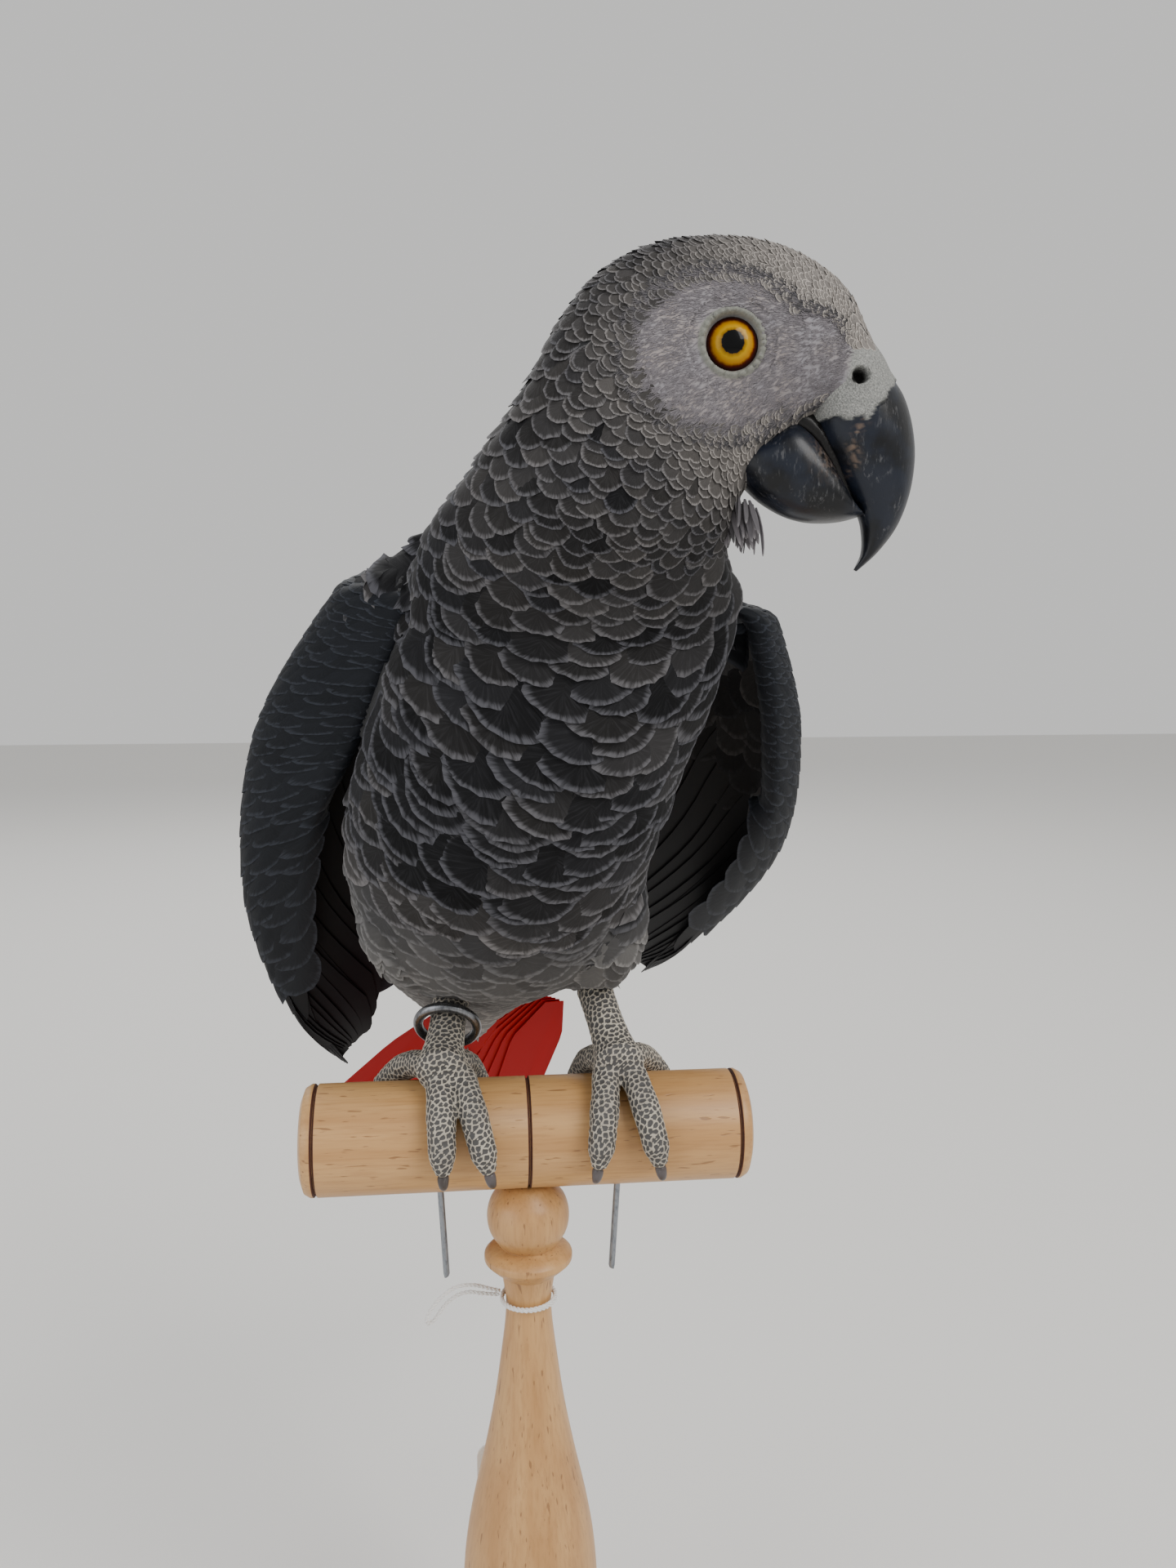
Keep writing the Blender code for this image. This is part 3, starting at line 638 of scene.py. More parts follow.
def turned(profile, axis, steps, width):
    """A profile spun round the bar's middle along one axis, with its edges softened."""
    bm = bmesh.new()
    verts = [bm.verts.new((radius, 0.0, place)) for radius, place in profile]
    edges = [bm.edges.new(pair) for pair in zip(verts, verts[1:])]
    spun(bm, verts + edges, steps)
    corner = math.radians(38.0)
    sharp = [edge for edge in bm.edges if edge.is_manifold and edge.calc_face_angle() > corner]
    rounding = {"offset": width * MM, "segments": 3, "profile": 0.5, "material": -1}
    bmesh.ops.bevel(bm, geom=sharp, affect="EDGES", **rounding)
    if axis == 0:
        bm.transform(Matrix.Rotation(math.radians(90.0), 4, "Y"))
        bm.transform(Matrix.Translation((0.0, BAR.y, BAR.z)))
    else:
        bm.transform(Matrix.Translation((BAR.x, BAR.y, 0.0)))
    return mesh_of(bm)


def softened(profile):
    """More points along the gentle stretches of a turned profile."""
    last = len(profile) - 1
    result = [profile[0]]
    for i in range(last):
        a, b, c, d = (profile[min(max(k, 0), last)] for k in range(i - 1, i + 3))
        bends = [(v, w) for v, w in ((b - a, c - b), (c - b, d - c)) if v.length and w.length]
        gentle = all(v.angle(w) < math.radians(34.0) for v, w in bends)
        if gentle and 0 < i < last - 1 and (c - b).length > 1.2 * MM:
            result += [between(profile, i, k / 4) for k in range(1, 5)]
        else:
            result.append(c)
    return result


def burn_grooves(bar):
    """Scorches the groove round the bar's middle and the one near each end."""
    bar.materials.append(burnt())
    points = coordinates(bar)
    reach = np.hypot(points[:, 1] - BAR.y, points[:, 2] - BAR.z) / MM
    for face in bar.polygons:
        depth = reach[list(face.vertices)]
        sloping = abs(face.normal.x) > 0.3 and depth.max() > 11.0 and depth.min() > 12.2
        along = abs(face.center.x) / MM
        if sloping and (along < 2.0 or 49.0 < along < 52.3):
            face.material_index = 1


def make_stand():
    upright = beech("beech along the column", 2)
    across = beech("beech along the bar", 0)
    base = turned(softened(profile_of("base", 2)), 2, 120, 0.5)
    add_piece("turned_base", base, across, "beech", "base", sharp=30.0)
    column = softened(profile_of("column", 2))
    top = column.pop().y
    column += [Vector((5.4 * MM, top + 0.8 * MM)), Vector((0.0, top + 1.2 * MM))]
    shaft = turned(column, 2, 80, 0.25)
    add_piece("turned_column", shaft, upright, "beech", "column", sharp=35.0)
    bar = turned(profile_of("perch", 0), 0, 96, 0.12)
    add_piece("turned_bar", bar, across, "beech", "perch", sharp=30.0)
    burn_grooves(bar)


def principal(node):
    """Centre and main directions of a CAD node's shape, longest first."""
    points = coordinates(NODES[node].data)
    centre = points.mean(axis=0)
    directions = np.linalg.svd(points - centre, full_matrices=False)[2]
    return points, Vector(centre), [Vector(row) for row in directions]


def round_axis(points, centre, axis):
    """How far each point is along an axis through the centre, and how far from it."""
    relative = points - np.array(centre)
    along = relative @ np.array(axis)
    return along, np.linalg.norm(relative - np.outer(along, np.array(axis)), axis=1)


def make_leg_ring(material):
    """A closed ring of round rod, a little loose on the leg."""
    points, centre, directions = principal("leg_ring")
    normal = directions[2]
    height, reach = round_axis(points, centre, normal)
    rod = height.max()
    radius = reach.max() - rod
    bm = bmesh.new()
    section = bmesh.ops.create_circle(bm, segments=20, radius=rod)["verts"]
    upright = Matrix.Rotation(math.radians(90.0), 4, "X")
    bm.transform(Matrix.Translation((radius, 0.0, 0.0)) @ upright)
    spun(bm, section + bm.edges[:], 72)
    bm.transform(turned_to(centre, normal))
    add_piece("steel_leg_ring", mesh_of(bm), material, "ring_steel", "leg_ring")


def make_wire(node, material):
    """A round wire whose cut lower end is slightly pinched."""
    points, centre, directions = principal(node)
    along = directions[0] if directions[0].z > 0 else -directions[0]
    reach, off = round_axis(points, centre, along)
    low, high = reach.min(), reach.max()
    radius = off.max()
    bm = bmesh.new()
    ends = {"radius1": radius, "radius2": radius, "depth": high - low}
    bmesh.ops.create_cone(bm, cap_ends=True, segments=20, **ends)
    whole = bm.verts[:] + bm.edges[:] + bm.faces[:]
    above_cut = (0.0, 0.0, low + 0.9 * MM)
    bmesh.ops.bisect_plane(bm, geom=whole, plane_co=above_cut, plane_no=(0.0, 0.0, 1.0))
    for vert in bm.verts:
        if vert.co.z < low + 0.5 * MM:
            vert.co.x *= 0.45
    bm.transform(turned_to(centre, along))
    add_piece("leg_" + node, mesh_of(bm), material, "wire", node)


# The lie of the coat ---------------------------------------------------------------------------

# Down the middle of the bird from the root of the bill to the vent, with the coat's depth there.
SPINE = [
    (on_head(22.0, 0.0, -6.0), 0.3),
    (on_head(4.0, 0.0, -1.0), 0.7),
    (on_head(-14.0, 0.0, -8.0), 1.2),
    (at(12.5, -40.5, 146.0), 1.9),
    (at(9.0, -22.0, 130.0), 2.4),
    (at(0.0, -8.0, 100.0), 2.8),
    (at(-5.0, 12.0, 66.0), 2.8),
    (at(-11.0, 34.0, 30.0), 2.4),
    (at(-17.0, 66.0, 0.0), 1.8),
]
SPINE_STEPS = 240
SPINE_POINTS = np.array(spline([place for place, _ in SPINE], SPINE_STEPS))
SPINE_DEPTHS = np.array(spline([depth for _, depth in SPINE], SPINE_STEPS))
SPINE_TANGENTS = np.gradient(SPINE_POINTS, axis=0)
SPINE_TANGENTS /= np.linalg.norm(SPINE_TANGENTS, axis=1)[:, None]
BREAST_LEFT = np.array((0.978, 0.208, 0.0))

BODY, RIGHT_THIGH, LEFT_THIGH, RIGHT_WING, LEFT_WING = range(5)
ZONE_NODES = [
    ("head", "neck", "trunk", "cere"),
    ("thigh_right",),
    ("thigh_left",),
    ("wing_right_arm",),
    ("wing_left_arm",),
]
# Each zone's left, bottom, width and height on the flat map.
ZONE_UV = [
    (0.01, 0.01, 0.55, 0.98),
    (0.63, 0.01, 0.14, 0.3),
    (0.80, 0.01, 0.14, 0.3),
    (0.63, 0.36, 0.15, 0.6),
    (0.82, 0.36, 0.15, 0.6),
]
LIMB_ENDS = {
    RIGHT_THIGH: (at(-27.0, 0.0, 58.0), at(-18.4, 11.6, 34.0)),
    LEFT_THIGH: (at(16.0, -1.0, 58.0), at(16.9, 10.0, 33.0)),
    RIGHT_WING: (at(-30.0, -6.0, 136.0), at(-60.0, 88.0, 12.0)),
    LEFT_WING: (at(48.0, -4.0, 130.0), at(58.0, 105.0, 30.0)),
}


def unit(vectors):
    """Each row brought to length 1."""
    return vectors / np.maximum(np.linalg.norm(vectors, axis=1), 1e-12)[:, None]


def along_spine(points):
    """For each point, how far it is down the spine from 0 to 1."""
    nearest = np.empty(len(points), dtype=int)
    for first in range(0, len(points), 4000):
        part = points[first : first + 4000]
        gaps = ((part[:, None, :] - SPINE_POINTS[None, :, :]) ** 2).sum(axis=2)
        nearest[first : first + 4000] = gaps.argmin(axis=1)
    return nearest / (SPINE_STEPS - 1)


def head_place(points):
    """Millimetres ahead of, beside and above the middle between the eyes."""
    relative = (points - np.array(HEAD)) / MM
    return relative @ np.array(AHEAD), relative @ np.array(LEFT), relative @ np.array(UP)


def unwrap(points, zones):
    """Places of skin points on a flat map: round the spine or limb, and along it."""
    result = np.zeros((len(points), 2))
    for zone, (u0, v0, width, height) in enumerate(ZONE_UV):
        chosen = np.flatnonzero(zones == zone)
        if not len(chosen):
            continue
        part = points[chosen]
        if zone == BODY:
            along = along_spine(part)
            index = (along * (SPINE_STEPS - 1)).astype(int)
            relative = part - SPINE_POINTS[index]
            tangent = SPINE_TANGENTS[index]
            fine = (relative * tangent).sum(axis=1) / 0.25
            along = np.clip(along + fine, 0.0, 1.0)
        else:
            start, end = (np.array(point) for point in LIMB_ENDS[zone])
            axis = end - start
            along = np.clip((part - start) @ axis / (axis @ axis) * 0.8 + 0.1, 0.0, 1.0)
            relative = part - start - np.outer((part - start) @ axis / (axis @ axis), axis)
            tangent = np.tile(axis / np.linalg.norm(axis), (len(part), 1))
        side = unit(np.cross(tangent, np.array((0.15, -0.2, 1.0))))
        other = np.cross(side, tangent)
        turn = np.arctan2((relative * side).sum(axis=1), (relative * other).sum(axis=1))
        result[chosen, 0] = u0 + width * (turn / math.tau + 0.5)
        result[chosen, 1] = v0 + height * along
    return result


def flow_at(points, normals, zones):
    """The direction that the coat lies in, along the skin."""
    index = (along_spine(points) * (SPINE_STEPS - 1)).astype(int)
    flow = SPINE_TANGENTS[index].copy()
    along = index / (SPINE_STEPS - 1)
    sideways = (points - SPINE_POINTS[index]) @ BREAST_LEFT / (38.0 * MM)
    spread = step(along, 0.34, 0.5) * (1.0 - step(along, 0.62, 0.85))
    flow += BREAST_LEFT * (sideways * spread * 0.9)[:, None]
    up = head_place(points)[2]
    droop = (1.0 - step(along, 0.2, 0.36)) * step(-up, -12.0, 14.0)
    flow -= np.array(UP) * (droop * 0.8)[:, None]
    for zone, (start, end) in LIMB_ENDS.items():
        limb = np.array((end - start).normalized())
        flow[zones == zone] = limb
    for zone in (RIGHT_WING, LEFT_WING):
        chosen = zones == zone
        if chosen.any():
            flow[chosen] = WINGS[zone].lie(points[chosen])[0]
    flow -= normals * (flow * normals).sum(axis=1)[:, None]
    return unit(flow)


# Skin ------------------------------------------------------------------------------------------

EYE_OPENING = 4.75
LID_WIDTH = 1.25
TAIL_LINE = (at(-13.0, 58.0, 11.0), at(-22.5, 116.0, -40.0))
SHOULDERS = ((at(-23.0, 2.0, 133.5), 13.5), (at(38.0, 6.0, 124.0), 12.0))
FACE_REACH = (17.5, 14.2)
NOSTRIL_AHEAD, NOSTRIL_UP, NOSTRIL_RADIUS = 23.6, -4.4, 1.35
EYE_AHEAD = (EYES[1] - HEAD) @ AHEAD / MM
EYE_UP = (EYES[1] - HEAD) @ UP / MM
BALL_RADIUS = 5.35
VOXEL = 1.3


def round_eye(points, side):
    """Distance from one eye's axis, the angle round it, and the reach outwards, in millimetres."""
    relative = (points - np.array(EYES[side])) / MM
    across, up = relative @ np.array(AHEAD), relative @ np.array(UP)
    return np.hypot(across, up), np.arctan2(up, across), relative @ np.array(LEFT) * side


def face_mask(points, inner=0.74, outer=1.2):
    """1 on the bare face, fading to 0 on the feathers between two shares of the face's reach."""
    ahead, side, up = head_place(points)
    reach = np.hypot((ahead + 1.0) / FACE_REACH[0], (up + 1.2) / FACE_REACH[1])
    lores = np.hypot((ahead - 15.5) / 8.5, (up + 3.0) / 9.5)
    return (1.0 - step(np.minimum(reach, lores), inner, outer)) * step(np.abs(side), 5.0, 8.0)


def with_nostrils(points, ahead, side, up):
    """The points with a raised rim and a hollow at each nostril, and how far each one is in a hollow,
    which is painted black as shade.
    """
    spread = np.hypot(ahead - NOSTRIL_AHEAD, up - NOSTRIL_UP)
    outside = np.abs(side) > 3.0
    pit = (1.0 - step(spread, NOSTRIL_RADIUS - 0.35, NOSTRIL_RADIUS + 0.3)) * outside
    rim = np.exp(-(((spread - NOSTRIL_RADIUS - 0.55) / 0.45) ** 2)) * outside
    inward = np.sign(side) * (rim * 0.35 - pit * 2.6) * MM
    return points + np.outer(inward, np.array(LEFT)), pit


def zones_of(points):
    """Which part of the body each point is on: the nearest CAD node's."""
    trees = []
    for nodes in ZONE_NODES:
        trees.append([BVHTree.FromBMesh(copy_of(node)) for node in nodes])
    result = np.zeros(len(points), dtype=int)
    for i, point in enumerate(points):
        here = Vector(point)
        gaps = [min(tree.find_nearest(here)[3] for tree in group) for group in trees]
        result[i] = gaps.index(min(gaps))
    return result


def fine_enough(bm, reach):
    """Splits the faces round the eyes and on the cere, twice, where the face has its fine shape."""
    for _ in range(2):
        bm.faces.ensure_lookup_table()
        chosen = set()
        for face in bm.faces:
            relative = (face.calc_center_median() - HEAD) / MM
            ahead, side, up = relative @ AHEAD, relative @ LEFT, relative @ UP
            near_eye = math.hypot(ahead - EYE_AHEAD, up - EYE_UP) < reach and abs(side) > 7.0
            if near_eye or (ahead > 17.0 and up > -16.0):
                chosen.update(face.edges)
        bmesh.ops.subdivide_edges(bm, edges=list(chosen), cuts=1, use_grid_fill=True)
    bmesh.ops.triangulate(bm, faces=[face for face in bm.faces if len(face.verts) > 4])


def side_of(points):
    """The zone of the wing on each point's own side of the bird."""
    return np.where(points[:, 0] < at(8.0, 0.0, 0.0)[0], RIGHT_WING, LEFT_WING)


def cere_mask(ahead, up, hind, sill, brow):
    """1 on the cere, rising from 0 over its hind edge and its sill and falling over its brow."""
    return step(ahead - 0.15 * up, *hind) * step(up, *sill) * (1.0 - step(up, *brow))


def joined_flesh():
    """The CAD flesh and eyeballs, with rounded shoulders, as one closed and evened surface."""
    joined = bmesh.new()
    for nodes in ZONE_NODES:
        for node in nodes:
            joined.from_mesh(mesh_of(copy_of(node, 0.35)))
    for side in ("right", "left"):
        joined.from_mesh(mesh_of(copy_of("eye_" + side)))
    for place, radius in SHOULDERS:
        pad = bmesh.new()
        bmesh.ops.create_icosphere(pad, subdivisions=3, radius=radius * MM)
        pad.transform(Matrix.Translation(place))
        joined.from_mesh(mesh_of(pad))
    mesh = modified(mesh_of(joined), "REMESH", mode="VOXEL", voxel_size=VOXEL * MM)
    bm = bmesh.new()
    bm.from_mesh(mesh)
    smooth(bm, bm.verts, 14)
    smooth(bm, [vert for vert in bm.verts if (vert.co - HEAD).length > 34.0 * MM], 24)
    fine_enough(bm, 13.0)
    smooth(bm, [vert for vert in bm.verts if (vert.co - HEAD).length < 34.0 * MM], 3)
    return bm


def drawn_in(points, normals, zones, bare):
    """The flesh's points, lowered by the coat's depth, with a slim rump, tucked under the wings."""
    along = along_spine(points)
    depth = SPINE_DEPTHS[(along * (SPINE_STEPS - 1)).astype(int)]
    depth = np.where(zones >= RIGHT_WING, 0.8, np.where(zones == BODY, depth, 1.6))
    depth = depth * (1.0 - bare) + 0.25 * bare
    points = points - normals * (depth * MM)[:, None]
    root, tip = (np.array(point) for point in TAIL_LINE)
    line = (tip - root) / np.linalg.norm(tip - root)
    nearest = root + np.outer(np.maximum((points - root) @ line, 0.0), line)
    squeeze = 0.5 * step(along, 0.8, 0.98) * (zones == BODY)
    points = points + (nearest - points) * squeeze[:, None]
    flank = (zones == BODY) & (along > 0.3) & (along < 0.6)
    for zone, wing in WINGS.items():
        near_wing = (zones == zone) | (flank & (side_of(points) == zone))
        points[near_wing] = wing.tucked(points[near_wing], zones[near_wing] == zone)
    return points


def with_lids(points):
    """The points with a beaded lid round each eye, and how far each one is on a lid."""
    lid = np.zeros(len(points))
    for eye in EYES:
        reach, turn, out = round_eye(points, eye)
        here = (out > -2.0) & (reach < EYE_OPENING + LID_WIDTH + 2.0)
        ball = np.sqrt(np.maximum(BALL_RADIUS**2 - reach**2, 0.0))
        scallops = 0.30 * np.cos(turn * 26.0 + 2.0 * np.sin(turn * 3.0)) + 0.12 * np.cos(turn * 43.0)
        brow = 0.8 * step(np.sin(turn + 0.2), 0.6, 0.95)
        ring = (reach - EYE_OPENING) / LID_WIDTH
        bead = np.sin(np.pi * np.clip(ring, 0.0, 1.0)) ** 0.6 * (0.75 + scallops + brow)
        sunk = 1.0 - step(reach, EYE_OPENING - 0.5, EYE_OPENING + 0.25)
        target = out + bead * 0.9 - 0.25
        target = target * (1.0 - sunk) + np.minimum(ball, out) * sunk
        shift = np.where(here, target - out, 0.0)
        points = points + np.outer(shift * MM * eye, np.array(LEFT))
        on_lid = step(ring, -0.25, 0.1) * (1.0 - step(ring, 0.95, 1.25))
        lid = np.maximum(lid, np.where(here, on_lid, 0.0))
    return points, lid


def write_bake_map(bm, points, zones):
    """The skin's flat map, with the faces on its seam carried past their zone's right-hand edge."""
    layer = bm.loops.layers.uv.new("OFBake")
    flat = unwrap(points, zones)
    for face in bm.faces:
        places = [flat[loop.vert.index] for loop in face.loops]
        highest = max(place[0] for place in places)
        for loop, (u, v) in zip(face.loops, places):
            wrapped = u + ZONE_UV[zones[loop.vert.index]][2] if highest - u > 0.07 else u
            loop[layer].uv = (wrapped, v)


def make_skin(material):
    """Head, neck, trunk, thighs and wing arms as one smooth skin, drawn in by the coat's depth."""
    bm = joined_flesh()
    points, normals = points_of(bm)
    zones = zones_of(points)
    ahead, side, up = head_place(points)
    cere = cere_mask(ahead, up, (21.2, 22.6), (-17.0, -15.0), (1.0, 2.5))
    bare = np.maximum(face_mask(points), cere)
    points = drawn_in(points, normals, zones, bare)
    points, lid = with_lids(points)
    points, pit = with_nostrils(points, ahead, side, up)
    move(bm, points)
    bm.normal_update()
    write_bake_map(bm, points, zones)
    skin = bm.copy()
    mesh = mesh_of(bm)
    for name, values in (("cere", cere), ("lid", lid), ("pit", pit), ("bare", bare)):
        set_values(mesh, name, values)
    stands_for = [node for nodes in ZONE_NODES for node in nodes]
    add_piece("skin", mesh, material, "plumage", *stands_for, sharp=75.0)
    skin.faces.ensure_lookup_table()
    on_face = [np.bincount([zones[vert.index] for vert in face.verts]) for face in skin.faces]
    return skin, np.array([counts.argmax() for counts in on_face])


# Eyes, bill, feet and claws --------------------------------------------------------------------


def make_eye(side, node, material):
    """A glass eye with its iris drawn round the axis that looks out of the head."""
    low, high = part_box(node)
    radius = (high[2] - low[2]) / 2
    bm = bmesh.new()
    bmesh.ops.create_uvsphere(bm, u_segments=96, v_segments=64, radius=radius)
    bm.transform(turned_to(EYES[side], LEFT * side))
    mesh = mesh_of(bm)
    reach, turn, out = round_eye(coordinates(mesh), side)
    set_values(mesh, "reach", np.where(out > 0.0, reach / 5.3, 1.0))
    rays = 0.5 + 0.25 * np.sin(turn * 31.0 + 3.0 * np.sin(turn * 5.0)) + 0.25 * np.sin(turn * 12.0)
    set_values(mesh, "rays", rays)
    add_piece("glass_" + node, mesh, material, "glass", node)


# Each row is the upper edge, the lower edge and the half width, in millimetres ahead and up.
BILL_UPPER = [
    ((27.0, 3.1), (14.1, -6.4), 7.4),
    ((29.1, 0.3), (15.4, -9.1), 8.3),
    ((30.8, -2.9), (16.4, -11.9), 8.8),
    ((33.4, -6.8), (17.8, -15.5), 8.7),
    ((35.1, -11.9), (20.7, -20.7), 8.1),
    ((35.8, -17.7), (23.2, -24.9), 7.0),
    ((35.1, -24.1), (25.7, -28.3), 5.5),
    ((33.0, -30.1), (26.5, -31.9), 3.9),
    ((29.5, -35.0), (26.4, -35.3), 2.2),
    ((25.7, -38.5), (25.1, -38.2), 0.35),
]
BILL_LOWER = [
    ((-1.5, -15.4), (-0.5, -20.4), 4.8),
    ((3.5, -15.1), (3.1, -22.1), 6.9),
    ((8.0, -13.5), (7.1, -25.6), 8.4),
    ((12.1, -11.2), (11.3, -28.1), 9.0),
    ((15.7, -13.1), (15.1, -29.3), 8.8),
    ((18.9, -17.1), (18.7, -29.6), 8.1),
    ((21.9, -22.1), (22.5, -29.3), 6.8),
    ((24.4, -26.5), (25.9, -28.4), 4.6),
    ((25.2, -27.9), (26.8, -28.2), 2.6),
]
# The lump that fills the gape between the halves, painted black as the shade inside it.
MOUTH = [
    ((8.0, -5.0), (7.0, -12.0), 4.5),
    ((17.0, -9.5), (14.5, -15.5), 5.2),
    ((22.0, -16.5), (18.5, -21.0), 4.8),
    ((25.0, -24.0), (22.5, -27.0), 3.2),
]
CERE_CORNER = (25.3, -11.6)
CERE_FRONT = (30.8, -4.6)
BILL_RINGS = 130
RING_POINTS = 96


def bill_half(stations, square, keel):
    """Rings round each station, boxy where square is low and ridged along the top by keel."""
    tops = spline([Vector(top) for top, _, _ in stations], BILL_RINGS)
    bottoms = spline([Vector(bottom) for _, bottom, _ in stations], BILL_RINGS)
    halves = spline([half for _, _, half in stations], BILL_RINGS)
    bm = bmesh.new()
    rings = []
    for top, bottom, half in zip(tops, bottoms, halves):
        ring = []
        for k in range(RING_POINTS):
            turn = math.tau * k / RING_POINTS
            reach = math.copysign(abs(math.cos(turn)) ** square, math.cos(turn))
            out = math.copysign(abs(math.sin(turn)) ** square, math.sin(turn))
            out *= 1.0 - keel * max(reach, 0.0) ** 2
            place = top * (0.5 + reach / 2) + bottom * (0.5 - reach / 2)
            ring.append(bm.verts.new(on_head(place.x, out * half, place.y)))
        rings.append(ring)
    for first, second in zip(rings, rings[1:]):
        for k in range(RING_POINTS):
            bm.faces.new((first[k - 1], first[k], second[k], second[k - 1]))
    bm.faces.new(rings[0])
    bm.faces.new(rings[-1][::-1])
    bmesh.ops.recalc_face_normals(bm, faces=bm.faces)
    return bm


def cere_on_bill(ahead, up, waver):
    """How far each point of the upper half is under the cere, and how near the cere's lower edge."""
    slope = (CERE_FRONT[1] - CERE_CORNER[1]) / (CERE_FRONT[0] - CERE_CORNER[0])
    above = up - CERE_CORNER[1] - np.maximum(ahead - CERE_CORNER[0], 0.0) * slope
    above -= 0.5 * np.minimum(ahead - 17.0, 0.0)
    return step(above + waver, -0.25, 0.25), 1.0 - np.clip(above / 3.0, 0.0, 1.0)


def make_bill(material):
    """Both halves of the bill: the upper one's root under the edge of the cere, and a lump in the gape,
    painted black as the shade inside it.
    """
    for node, stations in (("bill_upper", BILL_UPPER), ("bill_lower", BILL_LOWER)):
        upper = node == "bill_upper"
        bm = bill_half(stations, 0.86, 0.3 if upper else 0.0)
        if not upper:
            bm.from_mesh(mesh_of(bill_half(MOUTH, 1.0, 0.0)))
        points, normals = points_of(bm)
        ahead, side, up = head_place(points)
        speckle = np.array([noise.noise(Vector(point) / MM * 1.6) for point in points])
        if upper:
            waver = 0.35 * np.sin(ahead * 1.9 + side) + 0.5 * speckle
            cere, ridge = cere_on_bill(ahead, up, waver)
            points = points + normals * (cere * (0.28 + 0.15 * ridge) * MM)[:, None]
            points, pit = with_nostrils(points, ahead, side, up)
            line = 24.6 + 0.10 * (up + 3.0) + 0.6 * np.sin(up * 0.9)
            streak = np.exp(-(((ahead - line) / 0.9) ** 2))
            streak = streak * step(-up, 11.0, 13.0) * (1.0 - step(-up, 17.0, 24.0))
        else:
            cere = np.zeros(len(points))
            # The lump in the gape gets the nostrils' painted black shade all over.
            pit = np.where(np.arange(len(points)) >= BILL_RINGS * RING_POINTS, 1.0, 0.0)
            streak = 0.5 * step(up, -24.5, -18.0) * step(ahead, 13.5, 18.5)
        move(bm, points)
        mesh = mesh_of(bm)
        set_values(mesh, "cere", cere)
        set_values(mesh, "pit", pit)
        set_values(mesh, "flake", streak * step(speckle, -0.15, 0.35))
        add_piece("horn_" + node, mesh, material, "horn", node, sharp=60.0)


def make_claws(material):
    """The curved claws, grey with a little wear."""
    for end in ("front", "rear"):
        for place in ("inner", "outer"):
            for side in ("right", "left"):
                node = f"claw_{side}_{end}_{place}"
                mesh = refined(node, 2)
                set_values(mesh, "flake", np.full(len(mesh.vertices), 0.12))
                add_piece("curved_" + node, mesh, material, "horn", node, sharp=60.0)


SCALE_SPACING = 1.12


def scaled_skin():
    """Feet: dark granular scales in a pale raised network."""
    shades = Shades("scaled feet")
    where = shades.place()
    scale = shades.attribute("scale")
    fine = shades.noise(where, 3.4, 3.0, 0.7)
    age = shades.noise(where, 0.12, 2.0)
    net = shades.mix(age.rise(0.35, 0.65), linear(186, 178, 162), linear(162, 154, 141))
    net = shades.mix(fine.rise(0.4, 0.75) * 0.6, net, linear(158, 150, 138))
    dark = shades.mix(fine, linear(52, 50, 50), linear(80, 78, 76))
    colour = shades.mix(scale.rise(0.30, 0.62), net, dark)
    height = fine - scale * 0.8
    return shades.surface(0.68 - scale * 0.12, Base_Color=colour, Normal=shades.bump(height, 0.1))


def scale_seeds(points):
    """The middles of the scales: points in random order, none closer to another than the spacing."""
    seeds = []
    taken = {}
    spacing = SCALE_SPACING * MM
    steps = (-1, 0, 1)
    for index in dice.permutation(len(points)):
        point = points[index]
        a, b, c = (point / spacing).astype(int)
        around = [(a + i, b + j, c + k) for i in steps for j in steps for k in steps]
        near = [seed for key in around for seed in taken.get(key, ())]
        if all(((point - seed) ** 2).sum() > spacing**2 for seed in near):
            taken.setdefault((a, b, c), []).append(point)
            seeds.append(point)
    return seeds


def make_foot(node, material):
    """Tarsus and toes with a fine relief of scales, each a shallow dark cell in the network."""
    mesh = modified(mesh_of(copy_of(node)), "REMESH", mode="VOXEL", voxel_size=0.42 * MM)
    bm = bmesh.new()
    bm.from_mesh(mesh)
    smooth(bm, bm.verts, 7)
    points, normals = points_of(bm)
    seeds = scale_seeds(points)
    tree = KDTree(len(seeds))
    for index, seed in enumerate(seeds):
        tree.insert(seed, index)
    tree.balance()
    gaps = np.empty((len(points), 2))
    for index, point in enumerate(points):
        gaps[index] = [found[2] for found in tree.find_n(Vector(point), 2)]
    cell = step((gaps[:, 1] - gaps[:, 0]) / MM, 0.12, 0.55)
    move(bm, points + normals * ((0.10 - 0.2 * cell) * MM)[:, None])
    mesh = mesh_of(bm)
    set_values(mesh, "scale", cell)
    add_piece("scaled_" + node, mesh, material, "scales", node, sharp=80.0)


# Feathers --------------------------------------------------------------------------------------

# A vane's share of the flat map, and the thickness of small and of long vanes in millimetres.
PATCH = 0.003
THIN = 0.13
FLIGHT_THIN = THIN * 1.6


def flat_sheet(columns, rows):
    """A square sheet of unit size, with the vane map over it."""
    bm = bmesh.new()
    bmesh.ops.create_grid(bm, x_segments=columns, y_segments=rows, size=0.5)
    layer = bm.loops.layers.uv.new("Vane")
    for face in bm.faces:
        for loop in face.loops:
            loop[layer].uv = (loop.vert.co.x + 0.5, loop.vert.co.y + 0.5)
    return bm


